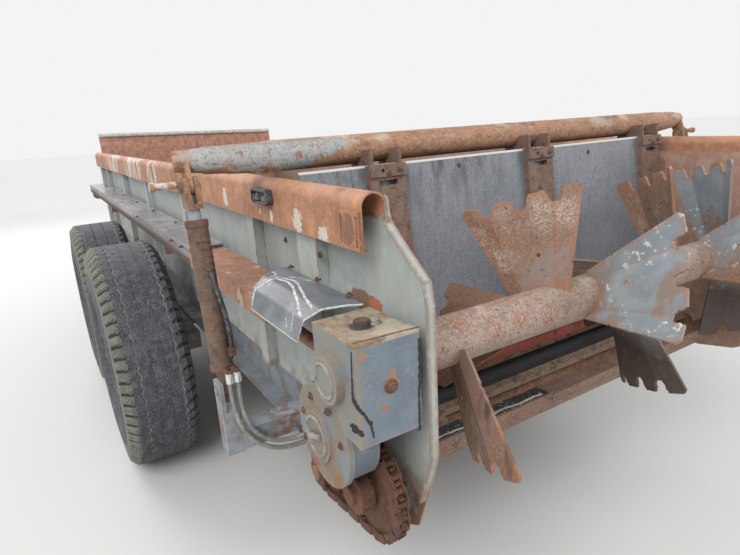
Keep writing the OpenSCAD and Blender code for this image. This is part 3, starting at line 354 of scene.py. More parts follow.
@skin("gear_case_paint", (0.122, 0.155, 0.19), 0.42, 0.12, 14, 0.3)
def case(s):
    s.layer((20, 0.48, 0.72, 1), (0.16, 0.195, 0.228), 0.42)
    s.layer((7, 0.52, 0.7, 8, (1, 1, 3)), (0.098, 0.125, 0.155), 0.45)
    s.layer([(90, 0.55, 0.62, 31), (11, 0.48, 0.6, 32)], (0.215, 0.205, 0.185), 0.6)
    side = s.mask(("y", 1.03, 1.0545))
    s.layer([side, (9, 0.42, 0.6, 12)], (0.2, 0.19, 0.165), 0.7)
    cover = s.mask([s.spot((at(0.032), 1.05, 0.946), 0.122, 0.03, 20, (1, 4, 1)), ("y", 1.036, 1.042)])
    s.layer(cover, (0.175, 0.155, 0.118), 0.7)
    s.layer([cover, (16, 0.5, 0.58, 33)], (0.15, 0.175, 0.195), 0.55)
    s.layer([cover, (30, 0.56, 0.64, 34)], (0.2, 0.11, 0.065), 0.85, -0.2)
    s.layer([s.edges(0.012, 0.02, 0.2), (34, 0.36, 0.52, 2)], (0.3, 0.2, 0.125), 0.85, -0.3)
    s.layer([(15, 0.62, 0.65, 3), (40, 0.4, 0.6, 9)], (0.25, 0.135, 0.08), 0.85, -0.3)
    for (px, py), radius, tall in CASE_PITS:
        s.layer(s.spot(seen(px, py, 0, CASE_X), radius, 0.3, 60, (2, 1, tall)), (0.3, 0.155, 0.085), 0.85, -0.2)
    top = s.mask(("z", CASE_TOP - 0.004, CASE_TOP - 0.001))
    s.layer(top, (0.285, 0.225, 0.165), 0.75, 0.2)
    s.layer([top, (30, 0.44, 0.6, 4)], (0.185, 0.12, 0.078), 0.85)
    s.layer([top, (9, 0.5, 0.6, 14)], (0.36, 0.31, 0.24), 0.8)
    ring = s.spot((at(-0.055), 0.985, CASE_TOP), 0.027, 0.25, 60, (1, 1.15, 3))
    s.layer([top, ring], (0.055, 0.05, 0.045), 0.7)
    low = s.mask(("z", 0.9, 0.84))
    s.layer([low, (12, 0.46, 0.54, 5)], RUST, 0.85, -0.2)


@skin("paddle_paint", (0.185, 0.215, 0.24), 0.5, 0.08, 16, 0.4)
def paddle(s):
    s.layer((18, 0.46, 0.66, 1), (0.235, 0.262, 0.28), 0.5)
    s.layer((8, 0.52, 0.6, 2), (0.215, 0.16, 0.13), 0.75, -0.15)
    s.layer([s.edges(0.022, 0.004, 0.06), (30, 0.32, 0.48, 3)], (0.27, 0.15, 0.095), 0.85, -0.25)
    s.layer([(90, 0.54, 0.62, 5), (6, 0.5, 0.6, 6)], (0.36, 0.24, 0.165), 0.8)
    rusty = s.total(0.5, 0.56, (("y", 0.27, 0.36), 0.7), ((7, 0.35, 0.65, 9), 0.3))
    rusty = s.math("MAXIMUM", rusty, [("y", 0.02, -0.1), ("y", -0.42, -0.34)])
    rusty = s.math("MAXIMUM", rusty, [("x", BEATER_X - 0.09, BEATER_X - 0.06), ("y", 0.17, 0.2)])
    s.layer(rusty, (0.18, 0.102, 0.067), 0.78, -0.1)
    s.layer([rusty, (9, 0.5, 0.6, 11)], (0.18, 0.14, 0.128), 0.65)
    s.layer([rusty, (150, 0.48, 0.58, 10)], (0.24, 0.16, 0.115), 0.8, 0.1)
    s.layer([rusty, (7, 0.5, 0.6, 12), (210, 0.46, 0.56, 13)], (0.39, 0.31, 0.25), 0.8)
    s.layer([rusty, (70, 0.6, 0.68, 17)], (0.12, 0.058, 0.036), 0.9, -0.15)
    s.layer([rusty, s.edges(0.03, 0.004, 0.06), (20, 0.3, 0.5, 14)], (0.29, 0.115, 0.055), 0.85)
    near = s.mask(("y", 0.56, 0.62))
    s.layer([near, (9, 0.46, 0.62, 15, (1, 1, 3))], (0.215, 0.14, 0.118), 0.8)
    s.layer([near, (16, 0.54, 0.64, 25, (1, 1, 3))], (0.09, 0.058, 0.046), 0.8)
    # Painted shade: paddles below the beater's axis, on its far side, are painted near black with a few specks,
    # for the shade they hang in
    under = s.mask([("z", 1.0, 0.92), ("y", 0.3, 0.2)])
    s.layer(under, (0.06, 0.042, 0.036), 0.6)
    s.layer([under, (60, 0.56, 0.64, 16)], (0.115, 0.07, 0.05), 0.75)
    blue = s.math("SUBTRACT", s.math("SUBTRACT", 1.0, rusty), under)
    s.layer([blue, (44, 0.57, 0.6, 7), (6, 0.5, 0.58, 8)], (0.5, 0.53, 0.5), 0.5, 0.3)


@skin("beater_tube_rust", (0.26, 0.175, 0.135), 0.66, 0.22, 26, 0.3)
def tube(s):
    s.layer((12, 0.44, 0.62, 1, (1, 2, 1)), (0.305, 0.24, 0.205), 0.62)
    s.layer((13, 0.56, 0.66, 2), (0.265, 0.13, 0.08), 0.8, -0.1)
    s.layer((150, 0.5, 0.62, 3), (0.37, 0.285, 0.23), 0.75)
    s.layer((120, 0.56, 0.66, 13), (0.15, 0.085, 0.062), 0.85, -0.15)
    s.layer([(8, 0.56, 0.64, 5), ("z", 1.12, 1.17)], (0.42, 0.4, 0.38), 0.6)
    s.layer((50, 0.66, 0.71, 4), DARK_RUST, 0.9)


@skin("floor_sheet", (0.03, 0.03, 0.034), 0.6, 0.2, 30, 0.4)
def floor(s):
    s.layer((50, 0.5, 0.7, 1, (1, 8, 1)), (0.05, 0.05, 0.056), 0.55)
    s.layer([(90, 0.68, 0.7, 2), (7, 0.5, 0.6, 3)], (0.45, 0.45, 0.43), 0.9)
    s.layer([("x", at(0.9), at(2.2)), (6, 0.4, 0.55, 4)], SOIL, 0.95, 0.3)


@skin("slat_rust", (0.235, 0.155, 0.105), 0.8, 0.2, 40, 0.4)
def slat(s):
    s.layer((90, 0.5, 0.62, 1), (0.34, 0.25, 0.17), 0.8, 0.1)
    s.layer((22, 0.54, 0.62, 2), (0.13, 0.085, 0.06), 0.85)


@skin("dark_steel", (0.285, 0.272, 0.29), 0.25, 0.14, 10, 0.25, metallic=0.35)
def steel(s):
    s.layer((5, 0.46, 0.6, 1, (3, 1, 1)), (0.42, 0.42, 0.45), 0.3)
    s.layer((16, 0.62, 0.68, 2), (0.15, 0.12, 0.11), 0.6, -0.2)
    s.layer([s.edges(0.01), (20, 0.4, 0.52, 3)], (0.23, 0.13, 0.085), 0.85)
    s.layer(("z", 1.178, 1.15), (0.095, 0.06, 0.048), 0.85)


@skin("bright_fitting", (0.56, 0.57, 0.56), 0.35, 0.06, 30, 0.2, metallic=0.3)
def bright(s):
    s.layer((50, 0.6, 0.68, 2), (0.3, 0.24, 0.18), 0.8)


@skin("rod_rust", (0.205, 0.112, 0.07), 0.8, 0.25, 26, 0.35)
def rods(s):
    s.layer((15, 0.48, 0.62, 1), (0.145, 0.072, 0.044), 0.85)
    s.layer((120, 0.54, 0.64, 2), (0.3, 0.175, 0.11), 0.8, 0.1)
    bare = s.mask([("z", 1.425, 1.42), (12, 0.3, 0.42, 4)])
    s.layer(bare, (0.27, 0.29, 0.33), 0.3)
    pin = s.mask(("y", 1.186, 1.19))
    s.layer(pin, (0.46, 0.44, 0.4), 0.5)
    s.layer([pin, (30, 0.5, 0.6, 3)], (0.3, 0.17, 0.1), 0.8)


@skin("rear_beam_rust", (0.165, 0.105, 0.078), 0.8, 0.25, 26, 0.4)
def beam(s):
    s.layer((15, 0.46, 0.62, 1), (0.215, 0.125, 0.082), 0.85)
    s.layer((130, 0.54, 0.64, 2), (0.3, 0.205, 0.15), 0.8, 0.1)
    sheet = s.mask([("z", 0.7185, 0.7195), ("y", 0.181, 0.184), ("x", at(0.13), at(0.132))])
    s.layer(sheet, (0.022, 0.022, 0.024), 0.6)
    s.layer([sheet, (110, 0.6, 0.63, 4)], (0.42, 0.42, 0.4), 0.9)


@skin("red_paint", (0.33, 0.055, 0.035), 0.55, 0.15, 24, 0.4)
def red(s):
    s.layer((26, 0.48, 0.6, 1), (0.23, 0.095, 0.06), 0.85, -0.2)
    s.layer((9, 0.56, 0.66, 2), DARK_RUST, 0.9)


@skin("hose_grey", (0.185, 0.185, 0.165), 0.6, 0.12, 50, 0.3)
def hose(s):
    s.layer((16, 0.48, 0.64, 1), (0.36, 0.35, 0.31), 0.7)
    s.layer((60, 0.6, 0.68, 2), (0.07, 0.07, 0.065), 0.8)


@skin("flap_rubber", (0.138, 0.148, 0.16), 0.45, 0.14, 14, 0.35)
def flap(s):
    s.layer((10, 0.48, 0.7, 1), (0.205, 0.218, 0.23), 0.42)
    s.layer((70, 0.6, 0.7, 2), (0.21, 0.22, 0.23), 0.6)


@skin("flap_crack", (0.6, 0.62, 0.62), 0.85, 0.12, 60, 0.6)
def crack(s):
    s.layer((90, 0.52, 0.6, 2), (0.26, 0.27, 0.28), 0.85)


# Plain rusty surfaces: name, base colour, lower limit of the pale specks, second colour and, if any, paint
RUSTY = {
    "rust": ("rust", RUST, 0.56, BROWN_RUST),
    "dark_rust": ("dark_rust", DARK_RUST, 0.60, (0.13, 0.075, 0.05)),
    "chain": ("chain_rust", (0.080, 0.036, 0.022), 0.58, (0.135, 0.058, 0.032)),
    "post": ("post_rust", (0.140, 0.092, 0.074), 0.52, (0.135, 0.075, 0.052)),
    "extension": ("extension_rust", (0.39, 0.195, 0.140), 0.66, (0.45, 0.250, 0.185)),
    "barrel": ("barrel_rust", (0.115, 0.075, 0.052), 0.58, (0.150, 0.078, 0.046)),
    "shield": ("shield_rust", (0.31, 0.155, 0.095), 0.60, (0.27, 0.13, 0.08), (0.45, 0.36, 0.27)),
    "fastener": ("fastener_rust", (0.105, 0.055, 0.038), 0.60, (0.15, 0.08, 0.05)),
    "cap": ("cap_grey", (0.255, 0.250, 0.225), 0.62, (0.20, 0.175, 0.135)),
    "pale": ("pale_edge", (0.52, 0.52, 0.47), 0.62, (0.46, 0.43, 0.36)),
}

for key, (name, base, pale, second, *paint) in RUSTY.items():
    s = Skin(name, base, 0.82, 0.28, 26)
    s.layer((15, 0.48, 0.64, 1), second, 0.85)
    s.layer((130, pale, pale + 0.10, 2), tuple(min(1, c * 1.45) for c in second), 0.8, 0.12)
    s.layer((60, 0.56, 0.68, 3), tuple(c * 0.5 for c in base), 0.9, -0.2)
    for colour in paint:
        s.layer((9, 0.62, 0.65, 4), colour, 0.5, 0.5)
    MAT[key] = s.done(0.45)

# Rubber and plastic: name, base colour, worn colour, dust and its lower limit
RUBBER = {
    "tyre": ("tyre_rubber", (0.036, 0.039, 0.046), (0.095, 0.100, 0.112), (0.090, 0.094, 0.102), 0.5),
    "groove": ("tyre_groove", (0.20, 0.20, 0.185), (0.27, 0.265, 0.24), (0.16, 0.155, 0.14), 0.5),
    "shoulder": ("tyre_shoulder", (0.112, 0.110, 0.090), (0.165, 0.160, 0.130), (0.075, 0.074, 0.064), 0.5),
    # tyre_notch: near-black rubber, painted shade in the tyres' notches; the gear case's open seams use it too
    "notch": ("tyre_notch", (0.014, 0.014, 0.014), (0.022, 0.022, 0.021), (0.03, 0.03, 0.027), 0.6),
    "black": ("black_plastic", (0.026, 0.027, 0.030), (0.10, 0.105, 0.11), (0.07, 0.07, 0.07), 0.6),
}

for key, (name, base, worn, dust, low) in RUBBER.items():
    s = Skin(name, base, 0.72, 0.15, 36)
    s.layer((34, 0.50, 0.66, 1), worn, 0.7)
    s.layer((7, low, low + 0.2, 3), dust, 0.9)
    s.layer((150, 0.54, 0.64, 2), tuple(c * 1.35 for c in worn), 0.8)
    s.layer((90, 0.60, 0.68, 5), tuple(c * 0.5 for c in base), 0.9)
    MAT[key] = s.done(0.35)

# CAD nodes of each skin; the tyres wear rubber, and all the others slate
SKIN_NODES = {
    "slat": "floor_top_run", "dark_rust": "floor_return_run", "floor": "floor_panel", "wall": "side_panels",
    "rail": "top_rails", "extension": "front_wall front_extension", "plate": "rear_plates", "beam": "rear_beam",
    "rust": "hitch_clevis jack apron_shafts line_shaft pto_holder shaft_bearings", "steel": "shaft_shield",
    "shield": "shield_rear", "flap": "shield_flap", "black": "pto_shaft marker_lamp", "case": "gear_case",
    "chain": "drive_chain drive_sprockets", "barrel": "lift_barrels", "fastener": "hose_fittings",
    "hose": "hose_outer hose_inner", "pipe": "gate_pipe", "post": "gate_posts", "sheet": "gate_sheet",
    "red": "gate_bottom_bar", "rods": "lift_rods", "tube": "beater_tube", "paddle": "beater_paddles",
}
NODE_SKIN = {node: key for key, names in SKIN_NODES.items() for node in names.split()}

for name, node in frame["nodes"].items():
    node.data.materials.clear()
    node.data.materials.append(MAT[NODE_SKIN.get(name, "tyre" if name.startswith("tyre") else "slate")])


# ---------------- mesh helpers
def cross_axes(axis):
    """Two unit vectors square to an axis and to each other."""
    axis = Vector(axis).normalized()
    u = axis.cross(Vector(Z) if abs(axis.z) < 0.9 else Vector(X)).normalized()
    return u, axis.cross(u)


def circle(centre, axes, radius, sides, turn=0.0):
    """Points round a centre, in the plane of two unit vectors."""
    u, v = axes
    angles = [turn + 2 * math.pi * k / sides for k in range(sides)]
    return [centre + radius * (math.cos(a) * u + math.sin(a) * v) for a in angles]


class Form:
    """A mesh gathered from rings, prisms, tubes and strips, with a material slot for each face."""

    def __init__(self):
        self.verts, self.faces, self.slots = [], [], []

    def add(self, verts, faces, slot=0):
        base = len(self.verts)
        self.verts += [tuple(v) for v in verts]
        self.faces += [tuple(base + i for i in f) for f in faces]
        self.slots += [slot] * len(faces)

    def rings(self, rings, slot=0, closed=False, flip=False):
        """Body through rings of points, flat at its ends unless closed; flip it if the rings run clockwise."""
        n, m = len(rings), len(rings[0])
        faces = [(i * m + k, i * m + (k + 1) % m, (i + 1) % n * m + (k + 1) % m, (i + 1) % n * m + k)
                 for i in range(n if closed else n - 1) for k in range(m)]
        if not closed:
            faces += [tuple(reversed(range(m))), tuple(range((n - 1) * m, n * m))]
        if flip:
            faces = [f[:1] + f[:0:-1] for f in faces]
        self.add([p for ring in rings for p in ring], faces, slot)

    def lathe(self, place, axis, profile, sides=12, slot=0, turn=0.0, closed=False):
        """Turned body from a list of (radius, distance along the axis); if closed, a ring with a bore."""
        way = Vector(axis).normalized()
        self.rings([circle(Vector(place) + way * along, cross_axes(axis), radius, sides, turn)
                    for radius, along in profile], slot, closed)

    def bolt(self, place, axis, r, turn=0.3):
        """Hexagon head with a chamfer on a washer, seen from along the axis."""
        self.lathe(place, axis, [(r * 1.5, -0.002), (r * 1.5, 0.0018), (r * 1.42, 0.0024)], 16)
        self.lathe(place, axis, [(r, 0.0022), (r, r * 0.62), (r * 0.86, r * 0.78)], 6, 0, turn)
        self.lathe(place, axis, [(r * 0.5, r * 0.7), (r * 0.5, r * 1.1), (r * 0.36, r * 1.2)], 10)

    def tube(self, points, radii, sides, slot=0):
        rings, u = [], None
        for i, (p, r) in enumerate(zip(points, radii)):
            way = (points[min(i + 1, len(points) - 1)] - points[max(i - 1, 0)]).normalized()
            u = (u - way * u.dot(way)).normalized() if u else cross_axes(way)[0]
            rings.append(circle(p, (u, way.cross(u)), r, sides))
        self.rings(rings, slot)

    def slab(self, rows, thick, slot=0, rim=None):
        """Sheet through a grid of points, thickened down a vector; rim is its edge's slot, if another."""
        n, m = len(rows), len(rows[0])
        top = [p for row in rows for p in row]
        faces = [(k, k + m, k + m + 1, k + 1) for i in range(n - 1) for k in range(i * m, i * m + m - 1)]
        under = [tuple(n * m + k for k in reversed(f)) for f in faces]
        ring = [*range(0, n * m, m), *range(n * m - m + 1, n * m), *range(n * m - m - 1, 0, -m),
                *range(m - 2, 0, -1)]
        sides = [(a, n * m + a, n * m + b, b) for a, b in zip(ring, ring[1:] + ring[:1])]
        self.add(top + [p + Vector(thick) for p in top], faces + under + sides, slot)
        if rim is not None:
            self.slots[-len(sides):] = [rim] * len(sides)

    def done(self, name, skins, body, smooth=False):
        mesh = bpy.data.meshes.new(name)
        mesh.from_pydata(self.verts, [], self.faces)
        for key in skins:
            mesh.materials.append(MAT[key])
        mesh.polygons.foreach_set("material_index", self.slots)
        mesh.polygons.foreach_set("use_smooth", [smooth] * len(self.faces))
        mesh.update()
        obj = placed(name, mesh)
        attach(obj, body)
        return obj


# ---------------- hoses
HOSE_X = at(0.400)
HOSE_R = 0.007
# Routes as Y and Z in millimetres, from the cylinder to the rear plate
HOSE_OUTER = [(1150, 955), (1150, 922), (1148, 890), (1144, 858), (1137, 827), (1126, 797), (1110, 769),
              (1089, 744), (1063, 723), (1033, 708), (1001, 700), (968, 697), (937, 697), (915, 697)]
HOSE_INNER = [(1128, 955), (1128, 924), (1127, 894), (1124, 864), (1118, 835), (1108, 807), (1094, 782),
              (1075, 760), (1051, 742), (1023, 730), (993, 724), (963, 721), (937, 720), (915, 720)]


def smooth_route(points, steps=4):
    """Points of a smooth curve through the given ones."""
    out = []
    for i in range(len(points) - 1):
        a, b, c, d = (points[max(0, min(len(points) - 1, i + k))] for k in (-1, 0, 1, 2))
        for k in range(steps):
            t = k / steps
            out.append(0.5 * (2 * b + (c - a) * t + (2 * a - 5 * b + 4 * c - d) * t ** 2
                              + (3 * b - a - 3 * c + d) * t ** 3))
    return out + [points[-1]]


def hydraulic_hose(node, route):
    """One of the two hoses, as a cord in place of its CAD node."""
    name = node + "_line"
    points = smooth_route([Vector((HOSE_X, y / 1000, z / 1000)) for y, z in route])
    curve = bpy.data.curves.new(name, "CURVE")
    curve.dimensions = "3D"
    curve.bevel_depth = HOSE_R
    curve.bevel_resolution = 5
    curve.use_fill_caps = True
    line = curve.splines.new("POLY")
    line.points.add(len(points) - 1)
    for spot, p in zip(line.points, points):
        spot.co = (*p, 1)
    curve.materials.append(MAT["hose"])
    obj = placed(name, curve)
    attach(obj, "chassis")
    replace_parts(obj, node)


hydraulic_hose("hose_outer", HOSE_OUTER)
hydraulic_hose("hose_inner", HOSE_INNER)


# ---------------- tyres
SAMPLES = 512
ZIGZAG = 64
NOTCHES = 64
NOTCH_STEPS = 3
RIM_R = 0.254
# Half a tyre's section outside the tread, from its edge to the bead: distance from the middle and radius
# below the crown or, on the side wall, as a share of the way from the shoulder down to the rim
TREAD_EDGE = 0.112
SHOULDER = [(0.1243, 0.0), (0.134, 0.010), (0.146, 0.022), (0.1545, 0.032)]
SIDEWALL = [(0.1600, 0.30), (0.1630, 0.31), (0.1630, 0.34), (0.1620, 0.36), (0.1680, 0.50), (0.1630, 0.62),
            (0.1540, 0.70), (0.1450, 0.76), (0.1450, 0.79), (0.1300, 0.85), (0.1260, 0.866), (0.0960, 0.997)]
# Grooves across the tread: place from the middle, positive outwards, half width, depth, zigzag's height
GROOVES_REAR = [(0.074, 0.0044, 0.009, 0.009), (0.018, 0.0018, 0.002, 0.007), (-0.038, 0.0018, 0.002, 0.007),
                (-0.090, 0.0044, 0.009, 0.009)]
GROOVES_FRONT = [(0.096, 0.004, 0.009, 0.0), (0.034, 0.003, 0.006, 0.004), (-0.030, 0.003, 0.006, 0.004),
                 (-0.090, 0.004, 0.009, 0.0)]
# Wheels: name, sign of the side, tyre's radius, hub's X and grooves
WHEELS = [(end + "_" + hand, side, r, at(x), grooves)
          for end, r, x, grooves in (("rear", 0.554, 1.900, GROOVES_REAR), ("front", 0.535, 3.050, GROOVES_FRONT))
          for hand, side in (("left", 1), ("right", -1))]


def tyre_columns(r, grooves):
    """Columns as (y, radius, zigzag's height, reach of the notches, slot of the strip that follows)."""
    tread = [(y, r, 0.0, 0, 0) for y in (0.104, 0.050, -0.010, -0.066, -0.104)]
    for y, half, deep, zig in grooves:
        slot = 1 if half > 0.003 else 0
        tread += [(y + half, r, zig, 0, slot), (y + half * 0.5, r - deep, zig, 0, slot),
                  (y - half * 0.5, r - deep, zig, 0, slot), (y - half, r, zig, 0, 0)]
    tread.sort(key=lambda column: -column[0])
    side = [(y, r - drop, 0.0, reach, 2) for reach, (y, drop) in enumerate(SHOULDER, 2)]
    low = r - SHOULDER[-1][1]
    side += [(y, low - (low - RIM_R) * share, 0.0, 0, 0) for y, share in SIDEWALL]
    return (side[::-1] + [(TREAD_EDGE, r, 0.0, 1, 0)] + tread + [(-TREAD_EDGE, r, 0.0, 1, 0)]
            + [(-y, q, 0.0, reach, 0) for y, q, _, reach, _ in side])


def tyre(name, side, r, grooves, seed):
    """Worn cross-ply tyre: zigzag grooves with pale dust, notched shoulders and rings on its walls."""
    lo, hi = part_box("tyre_" + name)
    centre = (lo + hi) / 2
    cols = tyre_columns(r, grooves)
    n = len(cols)
    rng = random.Random(seed)
    wear = [rng.uniform(-0.0012, 0.0) for _ in range(NOTCHES)]
    per_notch, per_zig = SAMPLES // NOTCHES, SAMPLES // ZIGZAG
    form = Form()
    for k in range(SAMPLES):
        a = 2 * math.pi * k / SAMPLES
        wave = 4 * abs((k % per_zig) / per_zig - 0.5) - 1
        step, here, then = k % per_notch, k * n, (k + 1) % SAMPLES * n
        for j, (y, q, zig, reach, slot) in enumerate(cols):
            if reach and 1 <= step <= min(NOTCH_STEPS, reach + 1):
                q -= 0.010 if reach < 5 else 0.006
            elif reach:
                q += wear[k // per_notch]
            form.verts.append((centre.x + q * math.sin(a), centre.y + side * (y + zig * 0.5 * wave),
                               centre.z + q * math.cos(a)))
            j2 = (j + 1) % n
            quad = (here + j, here + j2, then + j2, then + j)
            form.faces.append(quad if side > 0 else quad[::-1])
            # Floors of the shoulders' notches take the near-black notch rubber: painted shade in the recesses
            shared = min(reach, cols[j2][3])
            dark = shared and 1 <= step < min(NOTCH_STEPS, shared + 1)
            form.slots.append(3 if dark else 2 if cols[j2][4] == 2 else slot)
    obj = form.done("tyre_%s_tread" % name, ["tyre", "groove", "shoulder", "notch"], "wheel_" + name)
    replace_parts(obj, "tyre_" + name)


for seed, (name, side, r, _, grooves) in zip((8, 6, 11, 9), WHEELS):
    tyre(name, side, r, grooves, seed)


# ---------------- rubber flap
FLAP_T = 0.006
FLAP_LONG, FLAP_WIDE = 0.432, 0.190
# Points of the flap's outer face as Y and Z, from the side post outwards
FLAP_LINE = [(RIB_Y + 0.001, 1.224), (0.955, 1.229), (1.010, 1.228), (1.052, 1.208), (1.070, 1.157)]
# Ends of the flap at a given Y, as Y and station
FLAP_REAR = [(0.900, 0.050), (0.925, 0.050), (1.085, 0.096)]
FLAP_FRONT = [(0.900, 0.482), (0.930, 0.482), (1.085, 0.386)]
# Cracks: width, and shares of the flap's length from its rear end and of its width from the wall
CRACKS = [
    (0.0036, [(.97, .95), (.94, .70), (.85, .47), (.82, .40), (.68, .35), (.57, .38), (.44, .47), (.28, .57),
              (.12, .68), (.07, .70)]),
    (0.0032, [(.87, .39), (.78, .32), (.66, .26), (.57, .29), (.44, .37), (.29, .46), (.19, .50), (.08, .54)]),
    (0.0030, [(1, .31), (.90, .33), (.90, .46), (.96, .65), (.98, .90)]),
    (0.0020, [(.77, .25), (.70, .16), (.53, .03)]),
    (0.0018, [(.19, .63), (.16, .77), (.15, .87), (.14, .96)]),
    (0.0018, [(.23, .91), (.27, .83)]), (0.0018, [(.82, .49), (.80, .60)]),
]


def on_table(table, key):
    """Value between the rows of a table of (key, value)."""
    for (a, va), (b, vb) in zip(table, table[1:]):
        if key <= b:
            return va + (vb - va) * max(0.0, (key - a) / (b - a))
    return table[-1][1]


def along_line(points, share):
    """Point at a share of a broken line's length, rounded a little at its bends."""
    lengths = [math.dist(a, b) for a, b in zip(points, points[1:])]

    def sharp(t):
        left = max(0.0, min(1.0, t)) * sum(lengths)
        for a, b, length in zip(points, points[1:], lengths):
            if left <= length:
                k = left / length
                return a[0] + (b[0] - a[0]) * k, a[1] + (b[1] - a[1]) * k
            left -= length
        return points[-1]
    near = [sharp(share + k * 0.02) for k in (-1, 0, 1)]
    return sum(p[0] for p in near) / 3, sum(p[1] for p in near) / 3


def crack_depth(s, t):
    """1 on a crack's middle and 0 beyond its width, for a place given as shares of the flap."""
    x, y = s * FLAP_LONG, t * FLAP_WIDE
    wander = 0.0022 * noise.noise(Vector((x * 60, y * 60, 0)))
    best = 0.0
    for width, line in CRACKS:
        points = [(a * FLAP_LONG, b * FLAP_WIDE) for a, b in line]
        for (ax, ay), (bx, by) in zip(points, points[1:]):
            dx, dy = bx - ax, by - ay
            k = max(0.0, min(1.0, ((x - ax) * dx + (y - ay) * dy) / (dx * dx + dy * dy)))
            off = abs(math.hypot(x - ax - k * dx, y - ay - k * dy) + wander)
            best = max(best, 1.0 - off / width)
    return best


def rubber_flap():
    """Sagged rubber sheet over the flap's CAD solid, with its cracks sunk in."""
    long, wide = 150, 66
    rows = []
    for i in range(long + 1):
        s = i / long
        rows.append([])
        for j in range(wide + 1):
            t = j / wide
            y, z = along_line(FLAP_LINE, t)
            x = at(on_table(FLAP_REAR, y) * (1 - s) + on_table(FLAP_FRONT, y) * s)
            sink = 0.0015 * crack_depth(s, t) ** 0.5
            wave = 0.0009 * noise.noise(Vector((s * 3.1, t * 2.3, 1.7))) - 0.001
            rows[-1].append(Vector((x, y, z - sink + wave)))
    form = Form()
    form.slab(rows, (0, 0, 0.0005 - FLAP_T), rim=1)
    for k in range(long * wide):
        if crack_depth((k // wide + 0.5) / long, (k % wide + 0.5) / wide) > 0.12:
            form.slots[k] = 1
    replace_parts(form.done("rubber_flap", ["flap", "crack"], "chassis", smooth=True), "shield_flap")


rubber_flap()


# ---------------- lift cylinders' fittings
LIFT_Y = 1.150
PIPE_AT = Vector((at(0.532), 0, 1.540))
GATE_AHEAD = Vector((gate_axis.z, 0, -gate_axis.x))
BARREL_R = 0.0285
# Steel feed pipe of a cylinder, in the gate's frame: ahead, towards the box and up from the lift pipe
FEED = [(-0.034, 0.008, -0.275), (-0.036, 0.010, -0.310), (-0.034, 0.018, -0.360), (-0.029, 0.027, -0.420),
        (-0.026, 0.030, -0.480), (-0.022, 0.029, -0.520), (-0.014, 0.022, -0.545)]


def gate_point(u, y, w):
    """Place of a point given in the gate's leaning frame."""
    return PIPE_AT + GATE_AHEAD * u + Vector((0, y, 0)) + gate_axis * w


def lift_fittings(hand, side):
    """Gland, weld rings and steel feed pipe of one cylinder, with the couplings over its hoses."""
    form = Form()
    for low, loop in ((-0.148, [(-0.001, -0.020), (0.0025, -0.019), (0.0025, -0.002), (-0.001, -0.001)]),
                      (-0.560, [(-0.001, -0.010), (0.004, -0.008), (0.004, 0.006), (-0.001, 0.009)])):
        form.lathe(gate_point(0, side * LIFT_Y, low), gate_axis, [(BARREL_R + d, w) for d, w in loop], 24,
                   closed=True)
    ridges = [(0.007, -0.100)]
    for k in range(5):
        ridges += [(r, w + k * 0.019) for r, w in ((0.0125, -0.098), (0.0125, -0.090), (0.0095, -0.088),
                                                   (0.0095, -0.081))]
    form.lathe(gate_point(-0.034, side * (LIFT_Y - 0.008), -0.185), gate_axis, ridges, 14)
    feed = [gate_point(u, side * (LIFT_Y - y), w) for u, y, w in FEED]
    route = smooth_route(feed, 5)
    form.tube(route, [0.0070] * len(route), 12, 1)
    form.lathe(feed[5], gate_axis, [(0.011, -0.011), (0.011, 0.009), (0.009, 0.012)], 6)
    if side > 0:
        for y, _ in (HOSE_OUTER[0], HOSE_INNER[0]):
            spot = (HOSE_X, y / 1000, 0.962)
            form.lathe(spot, Z, [(0.0112, -0.006), (0.0112, 0.010), (0.0098, 0.013)], 6, 2, 0.4)
            form.lathe(spot, Z, [(0.0100, 0.012), (0.0100, 0.023)], 14, 2)
    form.done("lift_fittings_" + hand, ["fastener", "black", "bright"], "chassis")


lift_fittings("left", 1)
lift_fittings("right", -1)


# ---------------- broken lamp
def broken_lamp():
    """Housing of the lamp on the rail: a rim round a dark well, with what is left of its lens."""
    lo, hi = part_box("marker_lamp")
    form = Form()
    rng = random.Random(4)
    depth = hi.y - lo.y
    r = 0.010

    def outline(inset, share):
        a, b, c, d = lo.x + inset, hi.x - inset, lo.z + inset, hi.z - inset
        points = []
        for turn, (cx, cz) in enumerate(((b - r, d - r), (a + r, d - r), (a + r, c + r), (b - r, c + r))):
            for k in range(5):
                t = math.pi / 2 * (turn + k / 4)
                points.append(Vector((cx + r * math.cos(t), lo.y + depth * share, cz + r * math.sin(t))))
        return points
    loops = [outline(*rim) for rim in ((0.0, 0), (0.0, 0.80), (0.0015, 0.92), (0.005, 1), (0.008, 0.96),
                                       (0.009, 0.45))]
    for p in loops[3] + loops[4]:
        p.y -= rng.uniform(0.0, 0.004)
    form.rings(loops, flip=True)
    mid = (lo.z + hi.z) / 2
    for x0, x1, top in ((lo.x + 0.012, lo.x + 0.052, 0.70), (hi.x - 0.050, hi.x - 0.012, 0.85)):
        shard = [(x0, lo.z + 0.012), (x1, lo.z + 0.010), (x1 - 0.006, mid + 0.006), (x1 - 0.018, mid - 0.004),
                 (x0 + 0.010, hi.z - 0.012), (x0, hi.z - 0.010)]
        form.rings([[Vector((x, lo.y + depth * share, z)) for x, z in shard] for share in (0.40, top)], 1,
                   flip=True)
    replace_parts(form.done("broken_lamp", ["black", "shoulder"], "chassis"), "marker_lamp")


broken_lamp()


# ---------------- fasteners and small trim
SHEET_U = -0.066
HUB_Y = 1.204
SHIELD_TOP = 1.1955
OUTWARD = ((-1, 0, 0), Y, Z)
